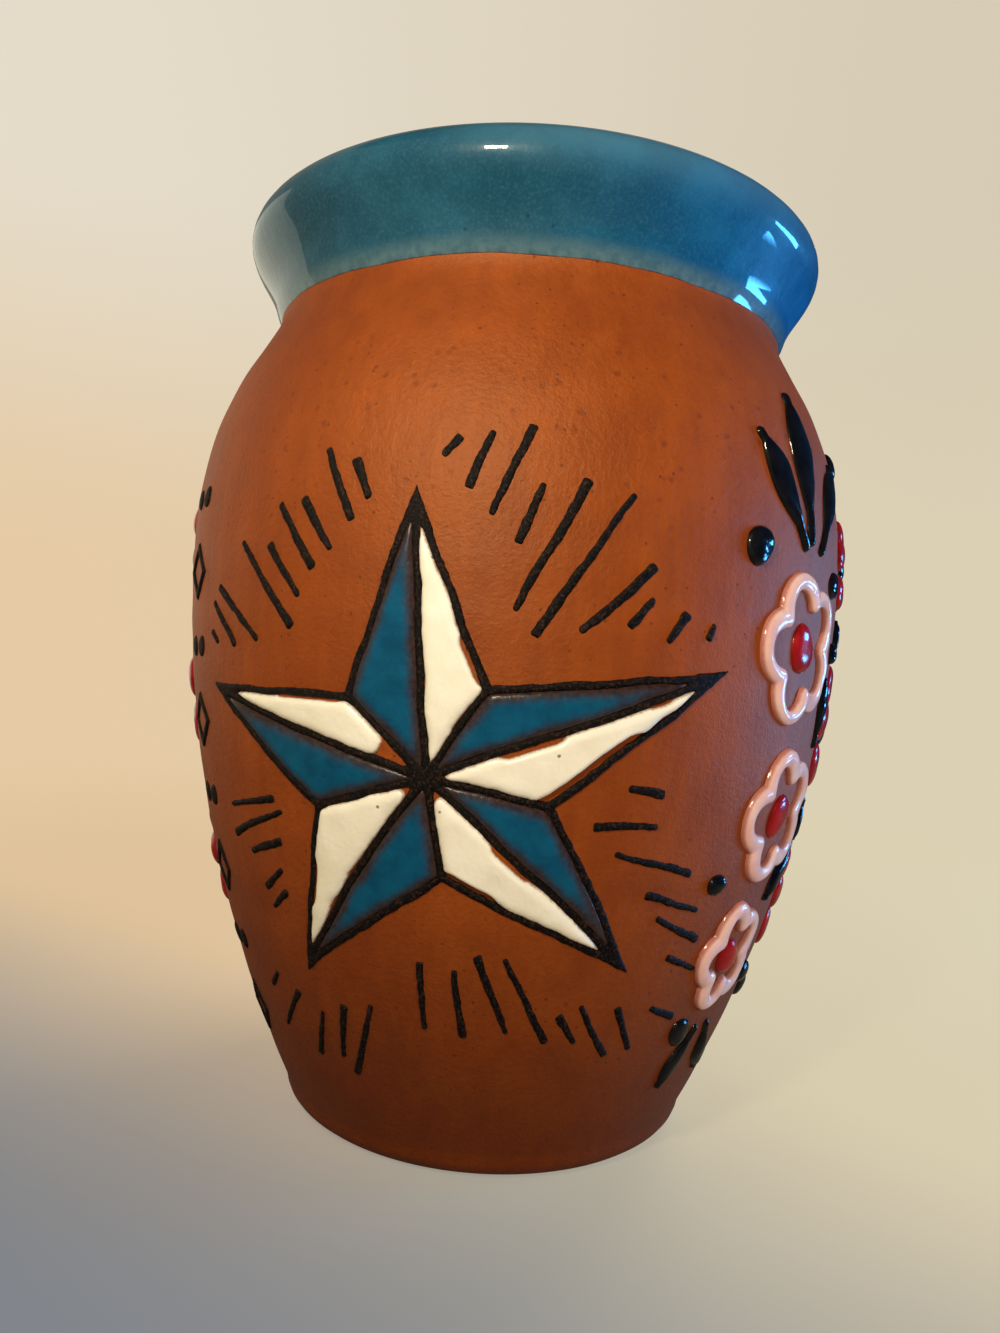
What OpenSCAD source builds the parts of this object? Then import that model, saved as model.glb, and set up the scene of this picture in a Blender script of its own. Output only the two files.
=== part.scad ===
// A jarrito: a thrown terracotta mug with a pulled strap handle. A blue glaze coat
// covers the lip, a clear one lines the inside, and slip-trailed ornament lies on the
// belly. The mug stands on z = 0, the star faces -Y and the handle is at +Y.

/* [Body] */
// Height from the base to the crest of the lip
body_h = 119.5; // [110:0.5:130]
// Widest diameter of the belly
belly_d = 90; // [84:0.5:98]
// Distance from the widest place of the belly up to the neck
shoulder_h = 32.3; // [29:0.1:39]
// Diameter to which the lower wall would run down at the table
foot_d = 54; // [48:0.5:62]
// Rounding of the edge between base and wall
foot_round = 3; // [1.5:0.1:5]
// Diameter of the neck, where the shoulder turns into the rim
neck_d = 71; // [66:0.2:75]
// Distance from the neck up to the crest of the lip
rim_h = 13.2; // [11.5:0.1:16]
// How far the belly runs straight up before it turns in to the shoulder
shoulder_pull = 21.5; // [15:0.5:23]
// How far the neck runs straight before it turns out to the lip
neck_pull = 5; // [3:0.1:6]
// Thickness of the wall
wall = 4.2; // [3.5:0.1:6]
// Thickness of the base
floor_t = 6; // [4:0.1:9]
// Rounding of the inside between wall and floor
well_round = 14; // [8:0.5:18]

/* [Lip] */
// Widest diameter of the lip
lip_d = 79; // [76:0.5:83]
// Distance from the widest place of the lip up to its crest
lip_round = 3.2; // [2.6:0.1:5]
// Distance from the widest place of the lip in to its crest
lip_roll = 4.4; // [3:0.1:5]
// How far the lip runs straight down below its widest place
lip_pull = 2.5; // [2:0.1:4]
// How far the inside of the mouth runs straight up from the neck
mouth_pull = 8; // [5:0.5:10]

/* [Handle] */
// Distance from the neck down to the middle of the upper end of the handle
handle_drop = 10; // [8:0.5:15]
// Distance between the middles of the two ends of the handle
handle_span = 47; // [41:0.5:52]
// Finger room between the belly and the handle
finger_room = 19; // [17:0.5:21]
// Width of the strap at its ends
handle_w = 19; // [15:0.5:22]
// Width of the strap at its middle
handle_mid_w = 15.5; // [12:0.5:19]
// Thickness of the strap
handle_t = 9; // [7:0.1:10]
// Rise of the strap as it leaves its upper end
handle_rise = 9; // [6:0.5:11]
// Fall of the strap as it comes in to its lower end
handle_fall = 13; // [9:0.5:16]
// Thickness of the slip that joins the handle to the body
slip_t = 1; // [0.6:0.1:1.6]
// How far the slip spreads past the edge of the handle
slip_spread = 3; // [1.5:0.1:4]

/* [Glaze] */
// Thickness of the blue coat on the lip
rim_coat = 0.6; // [0.3:0.05:0.9]
// Thickness of the clear coat inside
liner_coat = 0.4; // [0.2:0.05:0.7]
// Distance between the lower edge of the blue coat and the clear one
coat_seam = 0.4; // [0.2:0.05:1]

/* [Star] */
// Reach of the star from its centre to its widest tip
star_r = 34; // [28:0.5:36]
// Height of the centre of the star
star_z = 49; // [44:0.5:54]
// Width of the dark line between the fields of the star
line_w = 1; // [0.8:0.05:2]
// Thickness of the dark line
line_t = 0.5; // [0.3:0.05:0.8]
// Thickness of the glaze fields in their middle
field_t = 0.7; // [0.4:0.05:1]

/* [Rays] */
// Width of a ray
ray_w = 1.05; // [0.8:0.05:1.8]
// Thickness of a ray
ray_t = 0.4; // [0.25:0.05:0.7]

/* [Diamond column] */
// Distance from the reach of the star out to the middle of the column
column_out = 6; // [5.5:0.1:8]
// Height of the lowest motif of the column
column_z = 15; // [12:0.5:20]
// Distance between two motifs of the column
column_pitch = 9.2; // [8.5:0.1:10]
// Number of motifs in the column
column_motifs = 8; // [4:1:8]
// Width of a diamond
diamond_w = 7.6; // [5:0.1:8]
// Height of a diamond
diamond_h = 7; // [5:0.1:7.5]

/* [Side panels] */
// Distance from the reach of the star out to the middle of the right panel
right_panel_out = 24; // [22.5:0.5:27]
// Distance from the column out to the middle of the left panel
left_panel_out = 27.5; // [26:0.5:31]
// Width that the motifs of a panel are spread over
panel_w = 26; // [22:0.5:28]
// Height of the lower end of a panel
panel_z = 12; // [10:0.5:16]
// Distance from the neck down to the upper end of a panel
panel_drop = 11.3; // [10.5:0.1:17]
// Outer radius of the largest pink flower
flower_r = 9.4; // [6:0.1:9.8]
// Width of a trailed pink line
trail_w = 2.5; // [1.2:0.1:3]
// Thickness of a trailed pink line
trail_t = 0.9; // [0.5:0.05:1.2]
// Length of the largest black leaf
leaf_l = 17; // [12:0.5:19]
// Width of the largest black leaf
leaf_w = 4; // [2.5:0.1:5]
// Thickness of the leaves and dots
bead_t = 0.9; // [0.5:0.05:1.2]
// Radius of the largest dot
dot_r = 2.2; // [1.2:0.1:2.8]

/* [Hidden] */
$fn = 96;

// Clearance between a glaze coat and the clay
coat_gap = 0.03;
// Clearance under an ornament draped on the wall
drape_gap = 0.1;
// Clearance between the handle and its slip
slip_gap = 0.08;
// Clearance between a glaze field and the line round it
field_gap = 0.15;
// Height over which the slope of the wall is measured
slope_step = 1;
// Longest step along a draped line
drape_step = 4;
// Height of a panel at which its motifs have the sizes above
panel_full_h = 83;

belly_r = belly_d / 2;
foot_r = foot_d / 2;
neck_r = neck_d / 2;
lip_r = lip_d / 2;
crest_r = lip_r - lip_roll;
neck_z = body_h - rim_h;
belly_z = neck_z - shoulder_h;
lip_z = body_h - lip_round;
well_z = floor_t + well_round;
column_arc = -(star_r + column_out);
panel_arcs = [star_r + right_panel_out, column_arc - left_panel_out];
panel_h = neck_z - panel_drop - panel_z;
handle_top_z = neck_z - handle_drop;
handle_low_z = handle_top_z - handle_span;

// Bezier handle of a quarter round, as a share of its radius
round_share = 0.55;
// Height of the edge of a coat, bead or field, as a share of its full thickness
edge_share = 0.45;
// Width of a stroke at its blunt end, as a share of its full width
blunt_share = 0.5;
// Depth of a flower's scallops, as a share of its radius
scallop_share = 0.3;
// Radius of a flower's centre, as a share of the flower's
flower_centre_share = 0.3;
// A rosette's petals and centre: how far out the petals lie and their radii, as shares of its own
petal_out_share = 0.64;
petal_share = 0.34;
rosette_centre_share = 0.27;
// Radius of the column's dots, as a share of dot_r
column_dot_share = 0.6;
// Width of the strap's flat, as a power of the section's roundness
strap_power = 0.8;
// Tips and hollows of the star in turn, clockwise from the top, as shares of star_r
star_point_shares = [[-0.07, 0.88], [0.19, 0.29], [0.99, 0.38], [0.42, -0.07],
    [0.79, -0.62], [0.06, -0.33], [-0.55, -0.72], [-0.41, -0.13], [-0.97, 0.23], [-0.28, 0.24]];
// Rays, clockwise from the top: angle from the right, then near and far end as shares of star_r
ray_shares = [[88, 0.95, 1.02], [82, 0.88, 1.05], [76, 0.8, 1.1], [69, 0.76, 0.94],
    [62, 0.6, 1.01], [54, 0.57, 1.06], [44, 0.67, 0.96], [38, 0.79, 0.89], [32, 0.88, 0.97],
    [28, 0.98, 1.06], [-2, 0.69, 0.8], [-10, 0.6, 0.81], [-17, 0.71, 1.02], [-23, 0.87, 1.12],
    [-27, 1, 1.18], [-31, 1.12, 1.23], [-37, 1.22, 1.34], [-44, 1.12, 1.3], [-50, 0.98, 1.24],
    [-55, 0.95, 1.08], [-61, 0.67, 1.01], [-69, 0.63, 0.9], [-79, 0.65, 0.88], [-90, 0.64, 0.85],
    [-107, 0.85, 1.13], [-113, 0.91, 1.12], [-119, 1.02, 1.2], [-128, 1.06, 1.27], [-134, 1.13, 1.24],
    [-141, 0.75, 0.86], [-147, 0.74, 0.84], [-154, 0.64, 0.85], [-161, 0.61, 0.91], [-167, 0.61, 0.91],
    [158, 0.97, 1.05], [154, 0.87, 1.06], [149, 0.76, 1.07], [138, 0.67, 1.01], [131, 0.7, 0.9],
    [124, 0.75, 0.99], [118, 0.77, 0.94], [110, 0.81, 1.05], [105, 0.87, 0.99]];
// Flowers of a panel: place across and up as shares of the panel, size of flower_r
flower_shares = [[-0.42, 0.64, 1], [-0.34, 0.4, 0.92], [-0.44, 0.19, 0.78]];
// Rosettes of a panel, in the same way
rosette_shares = [[0.36, 0.52, 0.92], [0.42, 0.24, 0.76], [0.34, 0.78, 0.7]];
// Leaves of a panel: place of the foot across and up, size of leaf_l, angle from upright
leaf_shares = [[-0.47, 0.78, 0.86, 34], [-0.42, 0.79, 1, 4], [-0.3, 0.78, 0.8, -32],
    [-0.5, 0.08, 0.5, 152], [-0.36, 0.08, 0.5, -150], [-0.01, 0.5, 0.5, 0],
    [0.02, 0.35, 0.5, 142], [0.4, 0.405, 0.34, 180], [0.32, 0.634, 0.3, 0]];
// Dots of a panel: place across and up, size of dot_r
dot_shares = [[-0.82, 0.77, 1], [-0.66, 0.08, 0.8], [-0.06, 0.74, 0.8], [-0.76, 0.31, 0.6],
    [0.1, 0.64, 0.6], [-0.02, 0.14, 0.7], [0.28, 0.1, 0.8], [0.3, 0.94, 0.8]];

function unit(v) = v / norm(v);
function tail(list) = [for (i = [1 : len(list) - 1]) list[i]];
function reversed(list) = [for (i = [len(list) - 1 : -1 : 0]) list[i]];
function steps(length) = max(1, ceil(length / drape_step));
function bezier(a, b, c, d, n) = [for (i = [0 : n]) let (t = i / n)
    a * (1 - t) ^ 3 + 3 * b * t * (1 - t) ^ 2 + 3 * c * t ^ 2 * (1 - t) + d * t ^ 3];

// The lower wall swells from the foot to the belly
function swell(z) = belly_r - (belly_r - foot_r) * ((belly_z - z) / belly_z) ^ 2;

foot_edge_r = swell(foot_round);
foot_flat_r = foot_edge_r - foot_round;
foot_line = bezier([foot_flat_r, 0], [foot_flat_r + round_share * foot_round, 0],
    [foot_edge_r, (1 - round_share) * foot_round], [foot_edge_r, foot_round], 4);
belly_line = [for (i = [0 : 14]) let (z = foot_round + (belly_z - foot_round) * i / 14)
    [swell(z), z]];
shoulder_line = bezier([belly_r, belly_z], [belly_r, belly_z + shoulder_pull],
    [neck_r, neck_z - neck_pull], [neck_r, neck_z], 14);
flare_line = bezier([neck_r, neck_z], [neck_r, neck_z + neck_pull],
    [lip_r, lip_z - lip_pull], [lip_r, lip_z], 8);
crest_line = bezier([lip_r, lip_z], [lip_r, lip_z + round_share * lip_round],
    [crest_r + round_share * lip_roll, body_h], [crest_r, body_h], 6);
mouth_line = bezier([crest_r, body_h], [crest_r - round_share * lip_roll, body_h],
    [neck_r - wall, neck_z + mouth_pull], [neck_r - wall, neck_z], 8);
outer_line = concat(foot_line, tail(belly_line), tail(shoulder_line));
outer_table = [for (p = outer_line) [p[1], p[0]]];

function surface_r(z) = lookup(z, outer_table);

well_r = surface_r(well_z) - wall;
function inner_line(top_z) = concat(
    [for (i = [0 : 18]) let (z = top_z + (well_z - top_z) * i / 18) [surface_r(z) - wall, z]],
    tail(bezier([well_r, well_z], [well_r, well_z - round_share * well_round],
        [well_r - (1 - round_share) * well_round, floor_t], [well_r - well_round, floor_t], 8)),
    [[0, floor_t]]);

// A line moved away from the clay, which lies on the left of its travel
function lifted(line, lift) = [for (i = [0 : len(line) - 1])
    let (a = line[max(0, i - 1)], b = line[min(len(line) - 1, i + 1)], d = unit(b - a))
    line[i] + lift[i] * [d[1], -d[0]]];
function coat_outline(line, t, last_share) = let (n = len(line) - 1)
    concat(lifted(line, [for (p = line) coat_gap]),
        reversed(lifted(line, [for (i = [0 : n]) coat_gap + t
            * (i == 0 ? edge_share : i == n ? last_share : 1)])));

// A point of the wall: p[0] is the arc from the star at the belly, p[1] the height
function wall_slope(z) = (surface_r(z + slope_step) - surface_r(z - slope_step)) / (2 * slope_step);
function on_wall(p, lift) = let (s = wall_slope(p[1]), k = lift / sqrt(1 + s ^ 2),
    r = surface_r(p[1]) + k, a = p[0] / belly_r * 180 / PI)
    [r * sin(a), -r * cos(a), p[1] - k * s];

// Tiles are triangles of [arc, height, lift], counterclockwise from outside, each with
// three flags for the sides that end the ornament
function quad_tiles(p, e) = [[[p[0], p[1], p[2]], [e[0], e[1], 0]],
    [[p[0], p[2], p[3]], [0, e[2], e[3]]]];

module draped(tiles) {
    points = [for (t = tiles) each concat([for (p = t[0]) on_wall(p, drape_gap + p[2])],
        [for (p = t[0]) on_wall(p, drape_gap)])];
    faces = [for (i = [0 : len(tiles) - 1]) each concat(
        [[6 * i + 2, 6 * i + 1, 6 * i]], [[6 * i + 3, 6 * i + 4, 6 * i + 5]],
        [for (k = [0 : 2]) if (tiles[i][1][k]) each let (a = 6 * i + k, b = 6 * i + (k + 1) % 3)
            [[a, b, b + 3], [a, b + 3, a + 3]]])];
    polyhedron(points, faces, convexity = 10);
}

// A trailed stroke along path, with its widths, as three strips across
function stroke_tiles(path, widths, t, closed = false) =
    let (n = len(path), last = closed ? n - 1 : n - 2,
        rows = [for (i = [0 : n - 1])
            let (a = path[closed ? (i + n - 1) % n : max(0, i - 1)],
                b = path[closed ? (i + 1) % n : min(n - 1, i + 1)],
                d = unit(b - a), side = [d[1], -d[0]] * widths[i] / 2)
            [for (k = [[1, edge_share], [0, 1], [-1, edge_share]])
                concat(path[i] + side * k[0], [t * k[1]])]])
    [for (i = [0 : last]) let (a = rows[i], b = rows[(i + 1) % n]) for (k = [0, 1])
        each quad_tiles([a[k], b[k], b[k + 1], a[k + 1]],
            [k == 0, !closed && i == last, k == 1, !closed && i == 0])];

// A round bead with a raised middle
function dot_tiles(c, r, t, n = 10) = [for (i = [0 : n - 1])
    let (a = 360 * i / n, b = 360 * ((i + 1) % n) / n, u = [cos(a), sin(a)], v = [cos(b), sin(b)],
        mid = r * (1 - edge_share))
    each concat([[[concat(c, t), concat(c + mid * u, t), concat(c + mid * v, t)], [0, 0, 0]]],
        quad_tiles([concat(c + mid * u, t), concat(c + r * u, t * edge_share),
            concat(c + r * v, t * edge_share), concat(c + mid * v, t)], [0, 1, 0, 0]))];

// The corner of a triangle at b, moved in by d[0] and d[1] from the sides to a and to c
function inward(a, b, c) = let (n = unit([b[1] - a[1], a[0] - b[0]]))
    (c - a) * n < 0 ? -n : n;
function inset_corner(a, b, c, d) = let (m = inward(a, b, c), n = inward(b, c, a))
    b + [d[0] * n[1] - d[1] * m[1], m[0] * d[1] - n[0] * d[0]] / (m[0] * n[1] - m[1] * n[0]);

star_centre = [0, star_z];
star_points = [for (p = star_point_shares) star_centre + star_r * p];
function star_point(i) = star_points[i % 10];
// A facet of the star, with its sides moved in: spokes by s and the outer side by e
function facet(i, s, e) = let (c = star_centre, p = star_point(i + 1), q = star_point(i))
    [inset_corner(p, c, q, [s, s]), inset_corner(c, p, q, [s, e]), inset_corner(p, q, c, [e, s])];

function mix(a, b, t) = a + (b - a) * t;
function between(a, b, i, n, t) = concat(mix(a, b, i / n), [t]);

// The line round one facet: two half spokes and the whole of the outer side
function frame_tiles(k) =
    let (c = star_centre, p = star_point(k + 1), q = star_point(k),
        f = facet(k, line_w / 2, line_w), n = steps(star_r))
    [for (i = [0 : n - 1]) each concat(
        quad_tiles([between(c, p, i, n, line_t), between(c, p, i + 1, n, line_t),
            between(f[0], f[1], i + 1, n, line_t), between(f[0], f[1], i, n, line_t)], [0, 0, 1, 0]),
        quad_tiles([between(p, q, i, n, line_t), between(p, q, i + 1, n, line_t),
            between(f[1], f[2], i + 1, n, line_t), between(f[1], f[2], i, n, line_t)], [1, 0, 1, 0]),
        quad_tiles([between(c, q, i + 1, n, line_t), between(c, q, i, n, line_t),
            between(f[0], f[2], i, n, line_t), between(f[0], f[2], i + 1, n, line_t)], [0, 0, 1, 0]))];

// A glaze field inside one facet, raised away from its edges
function field_tiles(k) =
    let (f = facet(k, line_w / 2 + field_gap, line_w + field_gap), n = steps(star_r),
        at = function(i, j) concat(f[0] + (f[1] - f[0]) * i / n + (f[2] - f[0]) * j / n,
            [field_t * mix(edge_share, 1, min(1, 6 * min(i, j, n - i - j) / n))]))
    [for (i = [0 : n - 1]) for (j = [0 : n - 1 - i]) each concat(
        [[[at(i, j), at(i + 1, j), at(i, j + 1)], [j == 0, i + j == n - 1, i == 0]]],
        i + j < n - 1 ? [[[at(i + 1, j), at(i + 1, j + 1), at(i, j + 1)], [0, 0, 0]]] : [])];

function ray_tiles(s) =
    let (u = [cos(s[0]), sin(s[0])], n = steps(star_r * (s[2] - s[1])) + 2)
    stroke_tiles([for (j = [0 : n]) star_centre + u * star_r * mix(s[1], s[2], j / n)],
        [for (j = [0 : n]) ray_w * (j == 0 || j == n ? blunt_share : 1)], ray_t);

function diamond_tiles(c) =
    let (corners = [for (k = [[1, 0], [0, 1], [-1, 0], [0, -1]])
            [k[0] * diamond_w / 2, k[1] * diamond_h / 2]],
        inner_share = 1 - line_w / diamond_h * 2)
    [for (k = [0 : 3]) let (p = corners[k], q = corners[(k + 1) % 4]) for (i = [0, 1])
        each quad_tiles([between(c + p, c + q, i, 2, line_t), between(c + p, c + q, i + 1, 2, line_t),
            between(c + p * inner_share, c + q * inner_share, i + 1, 2, line_t),
            between(c + p * inner_share, c + q * inner_share, i, 2, line_t)], [1, 0, 1, 0])];

// A panel is drawn to fill its height, so its motifs grow and shrink with it
panel_scale = panel_h / panel_full_h;
function in_panel(arc, s) = [arc + s[0] * panel_w * panel_scale, panel_z + s[1] * panel_h];
function flower_tiles(c, r) = let (n = 40, k = 1 - scallop_share, mid = r - trail_w / 2)
    stroke_tiles([for (i = [0 : n - 1]) let (a = 360 * i / n)
            c + mid * (k + scallop_share * abs(sin(a * 5 / 2))) * [cos(a), sin(a)]],
        [for (i = [1 : n]) trail_w], trail_t, closed = true);
function rosette_tiles(c, r) = [for (i = [0 : 4]) let (a = 360 * i / 5 + 90)
    each dot_tiles(c + r * petal_out_share * [cos(a), sin(a)], r * petal_share, bead_t, 8)];
function leaf_tiles(c, l, angle) = let (n = steps(l) + 2, u = [-sin(angle), cos(angle)])
    stroke_tiles([for (j = [0 : n]) c + u * l * j / n],
        [for (j = [0 : n]) leaf_w * l / leaf_l * max(sin(180 * j / n), blunt_share / 2)], bead_t);

module body_shell() {
    color("chocolate") rotate_extrude() polygon(concat([[0, 0]], outer_line, tail(flare_line),
        tail(crest_line), tail(mouth_line), tail(inner_line(neck_z))));
}

module rim_glaze() {
    color("steelblue") rotate_extrude()
        polygon(coat_outline(concat(flare_line, tail(crest_line), tail(mouth_line)),
            rim_coat, edge_share));
}

module liner_glaze() {
    color("peru") rotate_extrude() polygon(coat_outline(inner_line(neck_z - coat_seam), liner_coat, 1));
}

// The handle's middle line runs in the plane of Y and Z, from its upper end to its lower
handle_steps = 22;
section_steps = 20;
handle_out = belly_r + finger_room + handle_t / 2;
handle_pull = (8 * handle_out - surface_r(handle_top_z) - surface_r(handle_low_z)) / 6;
handle_path = bezier([surface_r(handle_top_z), handle_top_z], [handle_pull, handle_top_z + handle_rise],
    [handle_pull, handle_low_z + handle_fall], [surface_r(handle_low_z), handle_low_z], handle_steps);

// A point behind the mug's wall, at x and z, lifted off it
function behind(x, z, lift) = [x, sqrt((surface_r(z) + lift) ^ 2 - x ^ 2), z];
function rounded(v) = sign(v) * abs(v) ^ strap_power;
// Section point j of ring i, as [x, y, z]
function strap_point(i, j) =
    let (a = handle_path[max(0, i - 1)], b = handle_path[min(handle_steps, i + 1)], d = unit(b - a),
        t = i / handle_steps, w = mix(handle_w, handle_mid_w, sin(180 * t)),
        angle = 360 * j / section_steps, out = handle_t / 2 * rounded(sin(angle)))
    [w / 2 * rounded(cos(angle)), handle_path[i][0] - d[1] * out, handle_path[i][1] + d[0] * out];
// An end ring drawn in to share s of its size and laid on the wall
function end_point(i, j, s, lift) = let (p = strap_point(i, j), c = handle_path[i])
    behind(p[0] * s, mix(c[1], p[2], s), lift);

function ring_faces(a, b, n) = [for (j = [0 : n - 1]) let (k = (j + 1) % n)
    each [[a + j, b + k, b + j], [a + j, a + k, b + k]]];
function fan_faces(a, tip, n) = [for (j = [0 : n - 1]) [a + (j + 1) % n, a + j, tip]];
// A closed skin over rings of n points each, with a tip before and after them
module skin(rings, first, last, n) {
    count = len(rings);
    polyhedron(concat([for (r = rings) each r], [first, last]), concat(
        [for (i = [0 : count - 2]) each ring_faces(i * n, (i + 1) * n, n)],
        fan_faces(0, count * n, n),
        [for (f = fan_faces((count - 1) * n, count * n + 1, n)) reversed(f)]), convexity = 4);
}

module handle() {
    seat = slip_t + slip_gap;
    end_shares = [1 / 3, 2 / 3, 1];
    js = [0 : section_steps - 1];
    rings = concat(
        [for (s = end_shares) [for (j = js) end_point(0, j, s, seat)]],
        [for (i = [1 : handle_steps - 1]) [for (j = js) strap_point(i, j)]],
        [for (s = reversed(end_shares)) [for (j = js) end_point(handle_steps, j, s, seat)]]);
    color("sienna") skin(rings, end_point(0, 0, 0, seat), end_point(handle_steps, 0, 0, seat),
        section_steps);
}

// A pad of slip between wall and handle, thinning out past the handle's edge
module slip_joint(i) {
    js = [0 : section_steps - 1];
    full = 1 + slip_spread / handle_t * 2;
    wide = 1 + slip_spread / handle_w * 2;
    c = handle_path[i];
    at = function(j, s, out, lift) let (p = end_point(i, j, 1, 0))
        behind(p[0] * mix(s, s * wide, out), c[1] + (p[2] - c[1]) * mix(s, s * full, out), lift);
    under = drape_gap;
    rings = concat(
        [for (s = [1 / 3, 2 / 3]) [for (j = js) at(j, s, s, under)]],
        [for (k = [[1, under], [1, under + slip_t * edge_share / 2], [0.4, slip_t]])
            [for (j = js) at(j, 1, k[0], k[1])]],
        [for (s = [2 / 3, 1 / 3]) [for (j = js) at(j, s, 0, slip_t)]]);
    skin(rings, at(0, 0, 0, under), at(0, 0, 0, slip_t), section_steps);
}

module upper_slip_joint() {
    color("saddlebrown") slip_joint(0);
}

module lower_slip_joint() {
    color("saddlebrown") slip_joint(handle_steps);
}

module star_outline() {
    color("black") draped([for (k = [0 : 9]) each frame_tiles(k)]);
}

module star_blue_fields() {
    color("teal") draped([for (k = [1 : 2 : 9]) each field_tiles(k)]);
}

module star_white_fields() {
    color("ivory") draped([for (k = [0 : 2 : 8]) each field_tiles(k)]);
}

module star_rays() {
    color("black") draped([for (s = ray_shares) each ray_tiles(s)]);
}

module column_diamonds() {
    color("darkslategray") draped([for (i = [0 : 2 : column_motifs - 1])
        each diamond_tiles([column_arc, column_z + i * column_pitch])]);
}

module column_dots() {
    color("darkslategray") draped([for (i = [1 : 2 : column_motifs - 1]) for (k = [-1, 1])
        each dot_tiles([column_arc + k * diamond_w / 4, column_z + i * column_pitch],
            dot_r * column_dot_share, line_t)]);
}

module pink_flowers() {
    color("pink") draped([for (arc = panel_arcs) for (s = flower_shares)
        each flower_tiles(in_panel(arc, s), flower_r * panel_scale * s[2])]);
}

module flower_centres() {
    color("firebrick") draped([for (arc = panel_arcs) for (s = flower_shares)
        each dot_tiles(in_panel(arc, s), flower_r * panel_scale * s[2] * flower_centre_share, bead_t)]);
}

module red_rosettes() {
    color("firebrick") draped([for (arc = panel_arcs) for (s = rosette_shares)
        each rosette_tiles(in_panel(arc, s), flower_r * panel_scale * s[2])]);
}

module rosette_centres() {
    color("black") draped([for (arc = panel_arcs) for (s = rosette_shares)
        each dot_tiles(in_panel(arc, s), flower_r * panel_scale * s[2] * rosette_centre_share, bead_t)]);
}

module black_leaves() {
    color("black") draped([for (arc = panel_arcs) for (s = leaf_shares)
        each leaf_tiles(in_panel(arc, s), leaf_l * panel_scale * s[2], s[3])]);
}

module black_dots() {
    color("black") draped([for (arc = panel_arcs) for (s = dot_shares)
        each dot_tiles(in_panel(arc, s), dot_r * panel_scale * s[2], bead_t)]);
}

body_shell();
handle();
upper_slip_joint();
lower_slip_joint();
rim_glaze();
liner_glaze();
star_outline();
star_blue_fields();
star_white_fields();
star_rays();
column_diamonds();
column_dots();
pink_flowers();
flower_centres();
red_rosettes();
rosette_centres();
black_leaves();
black_dots();
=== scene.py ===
# A jarrito: a thrown mug of bare red clay with a blue glazed lip, slip-trailed
# ornament on its belly and a pulled strap handle behind.
import math

import bmesh
import bpy
import numpy as np
from mathutils import Matrix, Vector


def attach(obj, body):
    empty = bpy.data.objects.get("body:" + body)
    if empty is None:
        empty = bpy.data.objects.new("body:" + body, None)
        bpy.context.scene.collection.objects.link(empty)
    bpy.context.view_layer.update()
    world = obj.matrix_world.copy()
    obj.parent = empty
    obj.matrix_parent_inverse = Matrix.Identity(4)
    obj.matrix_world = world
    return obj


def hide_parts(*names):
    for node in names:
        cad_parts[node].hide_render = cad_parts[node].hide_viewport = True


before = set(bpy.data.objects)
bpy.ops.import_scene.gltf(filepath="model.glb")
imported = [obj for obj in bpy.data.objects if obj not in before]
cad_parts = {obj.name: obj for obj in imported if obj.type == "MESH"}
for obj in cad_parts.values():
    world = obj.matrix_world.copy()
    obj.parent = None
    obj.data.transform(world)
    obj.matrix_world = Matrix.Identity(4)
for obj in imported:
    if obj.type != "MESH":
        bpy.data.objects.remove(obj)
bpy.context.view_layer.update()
print("packed model loaded")

mm = 0.001  # sizes are in millimetres unless a note says metres, and meshes are made in metres

pot = {
    "height": 119.5,
    "bellyRadius": 45,
    "bellyZ": 74,
    "footRadius": 27,
    "footRound": 3,
    "neckRadius": 35.5,
    "neckZ": 106.3,
    "shoulderPull": 21.5,
    "neckPull": 5,
    "wall": 4.2,
    "floor": 6,
    "wellRound": 14,
    "lipRadius": 39.5,
    "lipZ": 116.3,
    "crestRadius": 35.1,
    "lipPull": 2.5,
    "mouthPull": 8,
    "roundShare": 0.55,
    "segments": 384,
    "outOfRound": 0.07,
    "ringDepth": 0.03,
    "underDish": 0.7,
    # steps along each part of the wall's line
    "rows": {"under": 10, "foot": 6, "belly": 102, "shoulder": 50, "flare": 12, "over": 8, "mouth": 12,
             "inside": 30, "well": 12, "floor": 7},
}


def bezier(a, b, c, d, steps):
    a, b, c, d = (np.array(p, float) for p in (a, b, c, d))
    t = np.linspace(0, 1, steps + 1)[:, None]
    return a * (1 - t) ** 3 + 3 * b * t * (1 - t) ** 2 + 3 * c * t ** 2 * (1 - t) + d * t ** 3


def joined(*lines):
    # one line of several, each starting where the one before it ends
    return np.vstack([lines[0]] + [line[1:] for line in lines[1:]])


def swell(z):
    low = (pot["bellyZ"] - z) / pot["bellyZ"]
    return pot["bellyRadius"] - (pot["bellyRadius"] - pot["footRadius"]) * low ** 2


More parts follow.
